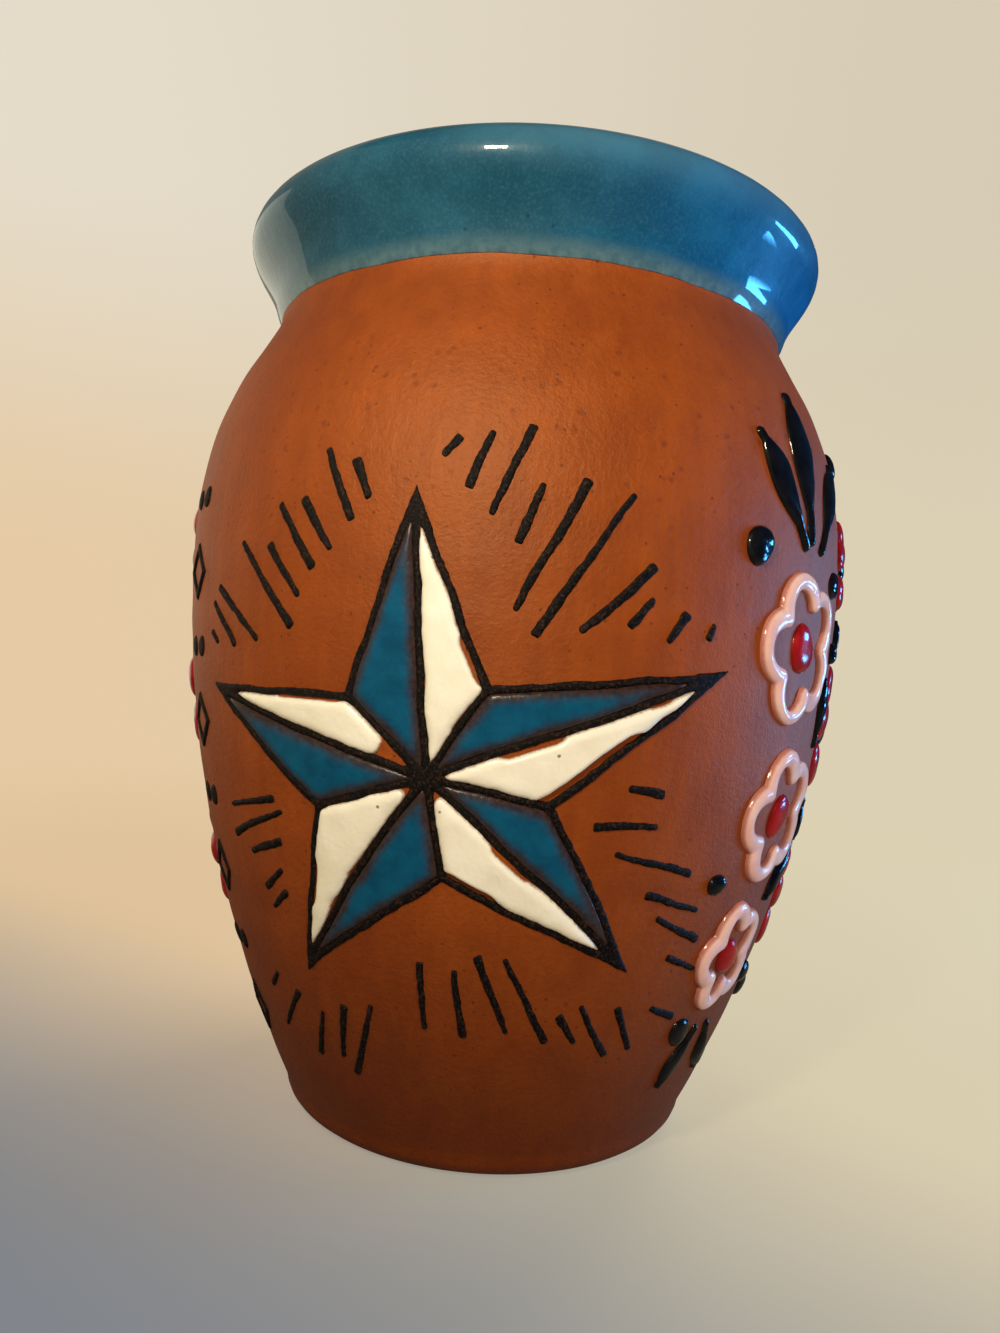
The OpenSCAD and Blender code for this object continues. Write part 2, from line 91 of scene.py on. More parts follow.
def outerLines(fine=1):
    # (radius, height) up the outside from the foot, over the lip and down to the neck inside
    r, s = pot["footRound"], pot["roundShare"]
    rows = pot["rows"]
    edge = swell(r)
    foot = bezier((edge - r, 0), (edge - r + s * r, 0), (edge, (1 - s) * r), (edge, r), rows["foot"])
    z = np.linspace(r, pot["bellyZ"], rows["belly"] * fine)
    belly = np.stack([swell(z), z], 1)
    neck = (pot["neckRadius"], pot["neckZ"])
    lip = (pot["lipRadius"], pot["lipZ"])
    crest = (pot["crestRadius"], pot["height"])
    shoulder = bezier(belly[-1], (pot["bellyRadius"], pot["bellyZ"] + pot["shoulderPull"]),
                      (neck[0], neck[1] - pot["neckPull"]), neck, rows["shoulder"] * fine)
    flare = bezier(neck, (neck[0], neck[1] + pot["neckPull"]), (lip[0], lip[1] - pot["lipPull"]), lip,
                   rows["flare"] * fine)
    roll = lip[0] - crest[0]
    rise = crest[1] - lip[1]
    over = bezier(lip, (lip[0], lip[1] + s * rise), (crest[0] + s * roll, crest[1]), crest,
                  rows["over"] * fine)
    throat = neck[0] - pot["wall"]
    mouth = bezier(crest, (crest[0] - s * roll, crest[1]), (throat, neck[1] + pot["mouthPull"]),
                   (throat, neck[1]), rows["mouth"] * fine)
    return foot, belly, shoulder, flare, over, mouth


fineLines = outerLines(4)
wallTable = joined(*fineLines[:4])


def wallRadius(z):
    return np.interp(z, wallTable[:, 1], wallTable[:, 0])


def thrown(az, z):
    # how far the thrown wall lies off its true form, always inwards
    slow = np.sin(2 * az + 0.6) + 0.6 * np.sin(3 * az + z * 0.03 + 2)
    rings = np.sin(z * 0.8 + 1.4 * np.sin(z * 0.19) + 2 * np.sin(az * 0.5) ** 2)
    return pot["outOfRound"] * (slow - 1.6) + pot["ringDepth"] * (rings - 1)


def onWall(arc, z, lift):
    # a point of the outside: arc is measured at the belly from the middle of the star
    az = arc / pot["bellyRadius"]
    slope = wallRadius(z + 0.5) - wallRadius(z - 0.5)
    reach = lift / np.sqrt(1 + slope ** 2)
    r = wallRadius(z) + thrown(az, z) + reach
    return np.stack([r * np.sin(az), -r * np.cos(az), z - slope * reach], -1)


def lattice(i, j, seed):
    value = np.sin(i * 127.1 + j * 311.7 + seed * 74.7) * 43758.5453
    return 2 * (value - np.floor(value)) - 1


def smoothNoise(x, y, seed):
    i, j = np.floor(x), np.floor(y)
    u, v = x - i, y - j
    u, v = u * u * (3 - 2 * u), v * v * (3 - 2 * v)
    low = lattice(i, j, seed) * (1 - u) + lattice(i + 1, j, seed) * u
    high = lattice(i, j + 1, seed) * (1 - u) + lattice(i + 1, j + 1, seed) * u
    return low * (1 - v) + high * v


def makeMesh(name, points, faces, flat=0):
    # points in millimetres; the last flat faces are side walls, which are left unsmoothed
    mesh = bpy.data.meshes.new(name)
    mesh.from_pydata((np.asarray(points) * mm).tolist(), [], faces)
    smooth = np.ones(len(mesh.polygons), bool)
    if flat:
        smooth[-flat:] = False
    mesh.polygons.foreach_set("use_smooth", smooth)
    mesh.update()
    piece = bpy.data.objects.new(name, mesh)
    bpy.context.scene.collection.objects.link(piece)
    return piece


def addValues(piece, name, values):
    layer = piece.data.attributes.new(name, "FLOAT", "POINT")
    layer.data.foreach_set("value", np.asarray(values, np.float32))


def azimuths(count):
    return np.arange(count)[:, None] * 2 * math.pi / count


def ringFaces(count, around, closed):
    # quads from each ring of points to the next, and from the last to the first if closed
    faces = []
    for i in range(count if closed else count - 1):
        n = (i + 1) % count
        for j in range(around):
            k = (j + 1) % around
            faces.append((i * around + j, n * around + j, n * around + k, i * around + k))
    return faces


def spin(name, sections, closed):
    # sections holds one line of (radius, height) for each azimuth; open lines start and end on the axis
    count, rows = sections.shape[:2]
    az = azimuths(count)
    r, z = sections[..., 0], sections[..., 1]
    points = np.stack([r * np.sin(az), -r * np.cos(az), z], -1)
    if closed:
        return makeMesh(name, points.reshape(-1, 3), ringFaces(count, rows, True))
    faces = []
    body = points[:, 1:-1].reshape(-1, 3)
    inner = rows - 2
    first, last = len(body), len(body) + 1
    for j in range(count):
        a, b = j * inner, (j + 1) % count * inner
        faces.append((first, b, a))
        faces += [(a + i, b + i, b + i + 1, a + i + 1) for i in range(inner - 1)]
        faces.append((a + inner - 1, b + inner - 1, last))
    return makeMesh(name, np.vstack([body, points[0, :1], points[0, -1:]]), faces)


class Wire:
    # a socket of a shader, so that shader sums are written as Python ones
    def __init__(self, tree, socket=None):
        self.tree = tree
        self.socket = socket

    def make(self, kind, settings=None, values=None, out=0):
        node = self.tree.nodes.new("ShaderNode" + kind)
        for key, value in (settings or {}).items():
            setattr(node, key, value)
        for key, value in (values or {}).items():
            if isinstance(value, Wire):
                self.tree.links.new(value.socket, node.inputs[key])
            else:
                node.inputs[key].default_value = value
        return Wire(self.tree, node.outputs[out] if len(node.outputs) else None)

    def sum(self, operation, *values):
        return self.make("Math", {"operation": operation}, dict(enumerate(values)))

    def __add__(self, other):
        return self.sum("ADD", self, other)

    def __radd__(self, other):
        return self.sum("ADD", other, self)

    def __sub__(self, other):
        return self.sum("SUBTRACT", self, other)

    def __rsub__(self, other):
        return self.sum("SUBTRACT", other, self)

    def __mul__(self, other):
        return self.sum("MULTIPLY", self, other)

    def __rmul__(self, other):
        return self.sum("MULTIPLY", other, self)

    def __truediv__(self, other):
        return self.sum("DIVIDE", self, other)

    def __rtruediv__(self, other):
        return self.sum("DIVIDE", other, self)


def fade(value, low, high):
    # 0 up to low, 1 from high on, and smooth between them
    return value.make("MapRange", {"interpolation_type": "SMOOTHSTEP"},
                      {"Value": value, "From Min": low, "From Max": high})


def between(place, limits):
    # the same for a coordinate and limits in millimetres
    return fade(place, limits[0] * mm, limits[1] * mm)


def tint(factor, first, second):
    return factor.make("Mix", {"data_type": "RGBA"}, {0: factor, 6: first, 7: second}, 2)


def noise(where, scale, detail, roughness, stretch=None):
    # scale is the size of a blotch in millimetres
    if stretch:
        where = where.make("Mapping", {}, {"Vector": where, "Scale": stretch})
    return where.make("TexNoise", {}, {"Vector": where, "Scale": 1 / (scale * mm), "Detail": detail,
                                       "Roughness": roughness})


def rgb(r, g, b):
    # a colour written in the 0 to 255 steps of a paint chart, as linear light
    def linear(v):
        v = v / 255
        return v / 12.92 if v <= 0.04045 else ((v + 0.055) / 1.055) ** 2.4
    return (linear(r), linear(g), linear(b), 1)


def finish(name, settings, paint):
    # settings are the constants of the shader, and paint returns what varies over the surface
    material = bpy.data.materials.new(name)
    material.use_nodes = True
    tree = material.node_tree
    tree.nodes.clear()
    start = Wire(tree)
    where = start.make("TexCoord", {}, {}, "Object")
    shader = start.make("BsdfPrincipled", {}, {**settings, **paint(where)})
    start.make("OutputMaterial", {}, {"Surface": shader})
    return material


def attribute(where, name):
    return where.make("Attribute", {"attribute_name": name}, {}, "Fac")


def coordinate(where, name):
    return where.make("SeparateXYZ", {}, {0: where}, name)


def surface(colour, roughness, height, relief, strength=1):
    # relief is in millimetres, for a height of 1
    normal = height.make("Bump", {}, {"Height": height, "Strength": strength, "Distance": relief * mm})
    return {"Base Color": colour, "Roughness": roughness, "Normal": normal}


def specks(where, size, share, low, high):
    # 1 inside a few round specks and 0 around them
    near = where.make("TexVoronoi", {}, {"Vector": where, "Scale": 1 / (size * mm)}, "Distance")
    choice = where.make("TexVoronoi", {}, {"Vector": where, "Scale": 1 / (size * mm)}, "Color")
    rare = fade(choice.make("SeparateColor", {}, {0: choice}), 1 - share, 1.02 - share)
    return (1 - fade(near, low, high)) * rare


clay = {
    "fired": (rgb(134, 56, 8), rgb(156, 71, 13)),
    "grain": rgb(112, 42, 8),
    # painted shade: the clay is painted darker towards the foot, where less light falls on it
    "foot": rgb(64, 6, 0),
    "speck": rgb(84, 26, 6),
    "pit": rgb(104, 34, 8),
    # heights over which the painted shade at the foot fades out, and between which the pitted shoulder comes
    # and goes
    "footShadeFade": (4, 46),
    "shoulderIn": (68, 84),
    "shoulderOut": (92, 102),
    "relief": 0.13,
}


def clayPaint(where):
    broad = noise(where, 26, 3, 0.55)
    patch = noise(where, 7, 4, 0.6)
    streak = noise(where, 2.2, 3, 0.6, (1, 1, 0.1))
    grain = noise(where, 0.7, 3, 0.7)
    fine = noise(where, 0.22, 2, 0.6)
    dark = specks(where, 1.1, 0.35, 0.08, 0.22) * fade(patch, 0.4, 0.56)
    tone = broad * 0.4 + patch * 0.3 + streak * 0.3
    up = coordinate(where, "Z")
    # painted shade: 1 at the foot and fading out up the belly, it darkens the clay where less light falls
    low = 1 - between(up, clay["footShadeFade"])
    shoulder = between(up, clay["shoulderIn"]) * (1 - between(up, clay["shoulderOut"]))
    pitted = specks(where, 1.7, 0.55, 0.1, 0.3) * shoulder * fade(patch, 0.36, 0.52)
    colour = tint(fade(tone, 0.36, 0.64), *clay["fired"])
    colour = tint(fade(grain, 0.35, 0.8) * 0.3, colour, clay["grain"])
    colour = tint(low * 0.6, colour, clay["foot"])
    colour = tint(dark * 0.85, colour, clay["speck"])
    colour = tint(pitted * 0.6, colour, clay["pit"])
    height = (grain + fine * 0.15 + streak * 0.5) * (1 + shoulder * 0.5) - dark * 0.1 - pitted * 0.25
    return surface(colour, 0.54 + 0.12 * patch, height, clay["relief"], 0.95)


def slipPaint(where):
    patch = noise(where, 5, 4, 0.6)
    grain = noise(where, 0.5, 3, 0.7)
    colour = tint(fade(patch, 0.35, 0.65), rgb(112, 48, 12), rgb(146, 70, 24))
    return surface(colour, 0.6 + 0.12 * patch, grain * 0.6 + patch * 1.6, 0.16, 0.9)


rimCoat = {
    "teal": (rgb(20, 74, 100), rgb(34, 90, 118)),
    # painted light: the blue on the right stands in for the blue light that falls there
    "blue": (rgb(8, 86, 140), rgb(16, 104, 160)),
    "hazy": (rgb(66, 102, 120), rgb(88, 122, 136)),
    # painted highlight: a paler blue near the crest, towards the right, for the soft reflection band there
    "thin": rgb(96, 146, 176),
    "grain": rgb(74, 122, 148),
    "margin": rgb(84, 50, 34),
    "speck": rgb(16, 40, 56),
    # how far to the right teal turns to blue, painted for the blue light falling there, and the heights and
    # places towards the right where the painted highlight near the crest comes in
    "blueFade": (4, 34),
    "glowUp": (113, 118),
    "glowRight": (-12, 14),
    # a band low on the right that has no coat over the glaze: where it starts, ends and how far right
    "dullIn": (108.6, 109.8),
    "dullOut": (112.8, 114),
    "dullRight": (18, 24),
    "relief": 0.16,
}


def rimPaint(where):
    # brown where the coat thins out, hazy just above that, then deep teal; painted bluer on the right, where
    # blue light falls, and paler near the crest as a painted highlight
    edge = attribute(where, "edge")
    patch = noise(where, 9, 4, 0.6)
    drift = noise(where, 1.1, 3, 0.6)
    grain = noise(where, 0.35, 2, 0.6)
    x, z = coordinate(where, "X"), coordinate(where, "Z")
    teal = tint(fade(patch, 0.35, 0.68), *rimCoat["teal"])
    blue = tint(fade(patch, 0.35, 0.68), *rimCoat["blue"])
    hazy = tint(fade(drift, 0.3, 0.7), *rimCoat["hazy"])
    # painted light: the glaze is painted bluer to the right, where blue light falls, and paler near the
    # crest as a painted highlight
    thin = between(z, rimCoat["glowUp"]) * between(x, rimCoat["glowRight"])
    colour = tint(between(x, rimCoat["blueFade"]), teal, blue)
    colour = tint(thin * 0.35, colour, rimCoat["thin"])
    colour = tint(fade(grain, 0.42, 0.76) * 0.24, colour, rimCoat["grain"])
    colour = tint(fade(edge + drift * 0.9, 0.8, 3.2), hazy, colour)
    colour = tint(fade(edge + drift * 0.2, 0.1, 0.26), rimCoat["margin"], colour)
    colour = tint(specks(where, 3.4, 0.6, 0.05, 0.1) * 0.5, colour, rimCoat["speck"])
    dull = between(z, rimCoat["dullIn"]) * (1 - between(z, rimCoat["dullOut"]))
    dull = dull * between(x, rimCoat["dullRight"])
    wave = noise(where, 5, 2, 0.5)
    ripple = noise(where, 1.1, 3, 0.6)
    height = wave * 1.2 + ripple * 0.3 + grain * 0.03
    return {**surface(colour, 0.3 + 0.1 * patch, height, rimCoat["relief"]), "Coat Weight": 0.8 * (1 - dull)}


def linerPaint(where):
    patch = noise(where, 12, 4, 0.6)
    grain = noise(where, 0.9, 3, 0.6)
    colour = tint(fade(patch, 0.35, 0.65), rgb(120, 50, 20), rgb(160, 76, 32))
    colour = tint(fade(grain, 0.55, 0.8) * 0.4, colour, rgb(88, 36, 16))
    return surface(colour, 0.1 + 0.08 * patch, patch + grain * 0.1, 0.2)


def starBluePaint(where):
    # a thin brown-grey margin where the clay shows through, teal where the glaze is deep
    edge = attribute(where, "edge")
    patch = noise(where, 3.2, 4, 0.65)
    fine = noise(where, 0.5, 3, 0.6)
    deep = tint(fade(patch, 0.32, 0.68), rgb(2, 70, 106), rgb(6, 86, 124))
    thin = tint(fade(fine, 0.3, 0.7), rgb(44, 28, 24), rgb(64, 46, 42))
    colour = tint(fade(edge + patch * 1.2, 0.7, 2.1), thin, deep)
    return surface(colour, 0.24 + 0.12 * fine, fine * 0.5 + patch, 0.07)


def whitePaint(where):
    edge = attribute(where, "edge")
    patch = noise(where, 2.8, 3, 0.6)
    fine = noise(where, 0.45, 3, 0.6)
    colour = tint(fade(patch, 0.3, 0.7), rgb(248, 242, 228), rgb(252, 248, 238))
    colour = tint(fade(edge + fine * 0.3, 0.1, 0.4), rgb(160, 124, 100), colour)
    pit = specks(where, 2.3, 0.28, 0.05, 0.11)
    colour = tint(pit * 0.8, colour, rgb(96, 74, 58))
    return surface(colour, 0.2 + 0.1 * fine, patch + fine * 0.2 - pit * 0.8, 0.12)


def darkLinePaint(where):
    grain = noise(where, 0.3, 3, 0.7)
    patch = noise(where, 2.4, 3, 0.6)
    colour = tint(fade(grain, 0.5, 0.66), rgb(7, 6, 6), rgb(62, 40, 30))
    colour = tint(fade(patch, 0.55, 0.8) * 0.3, colour, rgb(22, 18, 20))
    return surface(colour, 0.6 + 0.2 * grain, grain, 0.14)


def pinkPaint(where):
    edge = attribute(where, "edge")
    patch = noise(where, 3, 3, 0.6)
    colour = tint(fade(patch, 0.3, 0.7), rgb(238, 186, 184), rgb(246, 206, 200))
    colour = tint(fade(edge, 0.05, 0.35), rgb(190, 120, 108), colour)
    return surface(colour, 0.14 + 0.1 * patch, patch, 0.1)


def beadPaint(blotch, roughness, relief, first, second):
    def paint(where):
        patch = noise(where, blotch, 3, 0.6)
        colour = tint(fade(patch, 0.3, 0.7), first, second)
        return surface(colour, roughness + 0.1 * patch, patch, relief)
    return paint


redPaint = beadPaint(2.5, 0.13, 0.1, rgb(138, 12, 18), rgb(178, 24, 28))
blackPaint = beadPaint(2.2, 0.1, 0.14, rgb(10, 9, 11), rgb(20, 18, 19))
gloss = {"IOR": 1.5}
rimGloss = {"IOR": 1.5, "Specular IOR Level": 0.1, "Coat Roughness": 0.05}
fired = {"IOR": 1.5, "Specular IOR Level": 0.9, "Specular Tint": (1, 0.74, 0.46, 1)}
finishes = {
    "terracotta": finish("terracotta", fired, clayPaint),
    "clay_slip": finish("claySlip", fired, slipPaint),
    "blue_rim_glaze": finish("blueRimGlaze", rimGloss, rimPaint),
    "clear_glaze": finish("clearGlaze", gloss, linerPaint),
    "star_blue_glaze": finish("starBlueGlaze", {"IOR": 1.4}, starBluePaint),
    "white_glaze": finish("whiteGlaze", gloss, whitePaint),
    "dark_line_glaze": finish("darkLineGlaze", {"Specular IOR Level": 0.22}, darkLinePaint),
    "pink_glaze": finish("pinkGlaze", gloss, pinkPaint),
    "red_glaze": finish("redGlaze", gloss, redPaint),
    "black_glaze": finish("blackGlaze", gloss, blackPaint),
}
print("finishes made")


def dress(piece, node, slot):
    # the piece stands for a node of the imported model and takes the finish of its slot
    piece.data.materials.append(finishes[slot])
    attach(piece, "root")
    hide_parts(node)


def innerLine(topZ, steps):
    wellZ = pot["floor"] + pot["wellRound"]
    z = np.linspace(topZ, wellZ, steps)
    wall = np.stack([wallRadius(z) - pot["wall"], z], 1)
    r, s, low = wall[-1, 0], pot["roundShare"], pot["wellRound"]
    well = bezier((r, wellZ), (r, wellZ - s * low), (r - (1 - s) * low, pot["floor"]),
                  (r - low, pot["floor"]), pot["rows"]["well"])
    r = np.linspace(r - low, 0, pot["rows"]["floor"])
    floor = np.stack([r, 0 * r + pot["floor"]], 1)
    return joined(wall, well, floor)


def bodyShell():
    lines = outerLines()
    edge = lines[0][0, 0]
    r = np.linspace(0, edge, pot["rows"]["under"])
    under = np.stack([r, pot["underDish"] * (1 - (r / edge) ** 4)], 1)
    line = joined(under, *lines, innerLine(pot["neckZ"], pot["rows"]["inside"]))
    az = azimuths(pot["segments"])
    sections = np.repeat(line[None], pot["segments"], 0)
    off = thrown(az, line[None, :, 1]) * np.clip(line[:, 0] / pot["footRadius"], 0, 1)
    sections[..., 0] += off
    dress(spin("clayBody", sections, False), "body_shell", "terracotta")


bodyShell()
print("body thrown")


coat = {
    "thickness": 0.6,
    "roll": 2.2,
    "wave": 0.22,
    # waves of the lower edge: how many go round, their share, and where they start
    "waves": [(5, 0.4, 1), (11, 0.25, 2.2), (23, 0.14, 0)],
    # the coat is thicker by this share, in places, a little above its lower edge
    "sag": 0.1,
    "sagUp": 2,
    "sink": 0.06,
    "segments": 480,
    # rows across the coat, as shares of its width, closer together at both edges
    "firstRows": [0, 0.002, 0.006, 0.012, 0.02, 0.03, 0.045],
    "middleRows": (0.065, 0.97, 46),
    "lastRows": [0.98, 0.99, 0.996, 1],
    "linerThickness": 0.4,
    "linerRings": 0.22,
    "linerRows": 70,
    "linerSegments": 256,
    "seam": 0.4,
}


def lineWithNormals(line):
    # distance along the line, and its unit normal on the right of its travel
    step = np.diff(line, axis=0)
    along = np.concatenate([[0], np.cumsum(np.hypot(step[:, 0], step[:, 1]))])
    slope = np.gradient(line, along, axis=0)
    slope /= np.hypot(slope[:, 0], slope[:, 1])[:, None]
    return along, np.stack([slope[:, 1], -slope[:, 0]], 1)


def rimGlaze():
    line = joined(*fineLines[1:])
    along, normal = lineWithNormals(line)
    rising = len(fineLines[1]) + len(fineLines[2])
    start = np.interp(pot["neckZ"], line[:rising, 1], along[:rising])
    length = along[-1] - start
    az = azimuths(coat["segments"])
    wave = coat["wave"] * sum(np.sin(az * number + start) * size for number, size, start in coat["waves"])
    share = np.concatenate([coat["firstRows"], np.linspace(*coat["middleRows"]), coat["lastRows"]])[None]
    s = wave + (length - wave) * share
    fromEdge = (length - wave) * share
    toSeam = (length - wave) * (1 - share)
    thick = 1 - (1 - np.clip(fromEdge / coat["roll"], 0, 1)) ** 2
    thick = thick * np.sqrt(1 - (1 - np.clip(toSeam / coat["roll"], 0, 1)) ** 2)
    sag = 1 + coat["sag"] * np.sin(az * 7 + 0.5) * np.exp(-(fromEdge / coat["sagUp"] - 1) ** 2)
    lift = np.concatenate([thick * sag * coat["thickness"], np.full(s.shape, -coat["sink"])], 1)
    s = np.concatenate([s, s[:, ::-1]], 1) + start
    r, z = np.interp(s, along, line[:, 0]), np.interp(s, along, line[:, 1])
    nr, nz = np.interp(s, along, normal[:, 0]), np.interp(s, along, normal[:, 1])
    r = r + thrown(az, z)
    sections = np.stack([r + nr * lift, z + nz * lift], -1)
    piece = spin("blueRim", sections, True)
    addValues(piece, "edge", np.concatenate([fromEdge, fromEdge[:, ::-1]], 1).ravel())
    dress(piece, "rim_glaze", "blue_rim_glaze")


def linerGlaze():
    line = innerLine(pot["neckZ"] - coat["seam"], coat["linerRows"])
    along, normal = lineWithNormals(line)
    edge = np.sqrt(1 - (1 - np.clip(along / coat["roll"], 0, 1)) ** 2)
    az = azimuths(coat["linerSegments"])
    rings = coat["linerRings"] * np.sin(line[None, :, 1] * 0.9 + az) * np.clip(line[None, :, 0] / 20, 0, 1)
    top = line[None] + normal[None] * (coat["linerThickness"] * edge)[None, :, None]
    top = np.repeat(top, len(az), 0)
    top[..., 0] -= np.abs(rings) * edge + 0.02
    under = np.repeat((line - normal * coat["sink"])[None], len(az), 0)
    shift = thrown(az, line[None, :, 1]) * np.clip(line[:, 0] / pot["footRadius"], 0, 1)
    top[..., 0] += shift
    under[..., 0] += shift
    top[:, -1, 0] = 0
    under[:, -1, 0] = 0
    sections = np.concatenate([under[:, ::-1], top], 1)
    dress(spin("clearLining", sections, False), "liner_glaze", "clear_glaze")


rimGlaze()
linerGlaze()
print("glaze coats laid")


strap = {
    "drop": 10,
    "span": 47,
    "out": 68.5,
    "rise": 9,
    "fall": 13,
    "width": 19,
    "midWidth": 15.5,
    "thickness": 9,
    "power": 0.8,
    "rings": 120,
    "around": 72,
    "sink": 2.6,
    "ridge": 0.28,
    "ridges": 7.5,
    "lumps": 0.12,
    # the strap is wider by this share at both ends, over this share of its length
    "flare": 0.12,
    "flareShare": 0.05,
    "slipSpread": 3.2,
    "slipClimb": 3.4,
    "slipUneven": (0.28, 0.2),
    "slipGrain": 0.12,
    "slipRings": 12,
    # how far the slip's hidden rings lie towards the middle of the handle, and of the joint
    "slipIn": 0.25,
    "slipInner": 0.8,
    # heights over the wall of the slip's hollow and of its edge, and depths of its hidden side
    "slipHollow": 0.3,
    "slipEdge": 0.03,
    "slipMiddle": -1.2,
    "slipUnder": -0.5,
    # how far the thrown wall lies inside its true form there, about
    "wallIn": 0.15,
}
strapTop = pot["neckZ"] - strap["drop"]
strapLow = strapTop - strap["span"]


def strapPath(steps):
    # the middle line of the handle as (out, up), from just inside the wall to just inside it again
    a, b = float(wallRadius(strapTop)), float(wallRadius(strapLow))
    pull = (8 * strap["out"] - a - b) / 6  # so that the curve's middle lies at out
    line = bezier((a, strapTop), (pull, strapTop + strap["rise"]), (pull, strapLow + strap["fall"]),
                  (b, strapLow), steps)
    first = line[0] + (line[0] - line[1]) / np.linalg.norm(line[0] - line[1]) * strap["sink"]
    last = line[-1] + (line[-1] - line[-2]) / np.linalg.norm(line[-1] - line[-2]) * strap["sink"]
    return np.vstack([first, line, last])


def rounded(v):
    return np.sign(v) * np.abs(v) ** strap["power"]


def strapRings():
    # rings of points round the handle, as an array of ring, point, (x, y, z)
    path = strapPath(strap["rings"])
    slope = np.gradient(path, axis=0)
    slope /= np.linalg.norm(slope, axis=1)[:, None]
    t = np.linspace(0, 1, len(path))[:, None]
    a = azimuths(strap["around"]).T
    width = strap["width"] + (strap["midWidth"] - strap["width"]) * np.sin(math.pi * t)
    near = strap["flareShare"]
    flare = 1 + strap["flare"] * (np.exp(-(t / near) ** 2) + np.exp(-((1 - t) / near) ** 2))
    across = width / 2 * flare * rounded(np.cos(a))
    out = strap["thickness"] / 2 * rounded(np.sin(a))
    share = across / (width / 2)
    ridges = np.cos(share * strap["ridges"] + 0.5 * np.sin(t * 5))
    ridges = strap["ridge"] * ridges * (1 - share ** 2).clip(0)
    out = out - (np.abs(ridges) + strap["lumps"] * smoothNoise(t * 14, share * 2, 9)) * np.sin(a)
    across = across * (1 - 0.012 * (1 + smoothNoise(t * 9, a * 0 + 3, 4)))
    return np.stack([across, path[:, :1] - slope[:, 1:] * out, path[:, 1:] + slope[:, :1] * out], -1)


def tube(name, rings):
    # rings of points joined in turn, with a fan over each end
    count, around = rings.shape[:2]
    faces = ringFaces(count, around, False)
    first = count * around
    end = first - around
    for j in range(around):
        k = (j + 1) % around
        faces.append((first, j, k))
        faces.append((first + 1, end + k, end + j))
    return makeMesh(name, np.vstack([rings.reshape(-1, 3), rings[0].mean(0), rings[-1].mean(0)]), faces)


def turnOut(piece):
    # makes all faces of a closed mesh look outwards
    mesh = bmesh.new()
    mesh.from_mesh(piece.data)
    bmesh.ops.recalc_face_normals(mesh, faces=mesh.faces)
    mesh.to_mesh(piece.data)
    mesh.free()


def wallBehind(x, z, lift):
    # the point of the wall behind the mug at x and z
    r = wallRadius(z) - strap["wallIn"] + lift
    return np.stack([x, np.sqrt(np.maximum(r ** 2 - x ** 2, 0)), z], -1)


def handle():
    piece = tube("strapHandle", strapRings())
    turnOut(piece)
    dress(piece, "handle", "terracotta")


def slipJoint(name, node, upper):
    rings = strapRings()
    if not upper:
        rings = rings[::-1]
    a = azimuths(strap["around"])[:, 0]
    waves, lumps = strap["slipUneven"]
    uneven = 1 + waves * np.sin(3 * a + (1 if upper else 4))
    uneven = uneven + lumps * smoothNoise(a * 4, a * 0, 3 if upper else 8)
    uneven[-6:] = uneven[-6:] * np.linspace(1, 0, 6) + uneven[0] * np.linspace(0, 1, 6)
    centre = np.array([0, strapTop if upper else strapLow])
    foot = rings[2][:, [0, 2]]
    away = foot - centre
    away /= np.linalg.norm(away, axis=1)[:, None]
    spread = strap["slipSpread"] * uneven
    # the ring of the handle that the slip climbs to
    gone = np.linalg.norm(np.diff(rings[2:].mean(1), axis=0), axis=1).cumsum()
    climb = int(np.searchsorted(gone, strap["slipClimb"])) + 3
    top = rings[climb]
    middle = rings[climb].mean(0)
    corner = wallBehind(foot[:, 0], foot[:, 1], strap["slipHollow"])
    rim = foot + away * spread[:, None]
    low = wallBehind(rim[:, 0], rim[:, 1], strap["slipEdge"])
    loops = []
    for t in np.linspace(0, 1, strap["slipRings"]):
        loops.append(low * (1 - t) ** 2 + 2 * corner * t * (1 - t) + top * t ** 2)
    grain = strap["slipGrain"] * smoothNoise(a * 9, a * 0 + 5, 6)
    for i in range(1, strap["slipRings"] - 1):
        loops[i] = loops[i] + (loops[i] - middle) * (0.01 + grain[:, None] * 0.05)
    loops.append(top + (middle - top) * strap["slipIn"])
    inner = centre + (foot - centre) * strap["slipInner"]
    loops.append(wallBehind(inner[:, 0], inner[:, 1], strap["slipMiddle"]))
    loops.append(wallBehind(rim[:, 0], rim[:, 1], strap["slipUnder"]))
    piece = makeMesh(name, np.vstack(loops), ringFaces(len(loops), len(foot), True))
    turnOut(piece)
    dress(piece, node, "clay_slip")


handle()
slipJoint("upperSlip", "upper_slip_joint", True)
slipJoint("lowerSlip", "lower_slip_joint", False)
print("handle luted on")


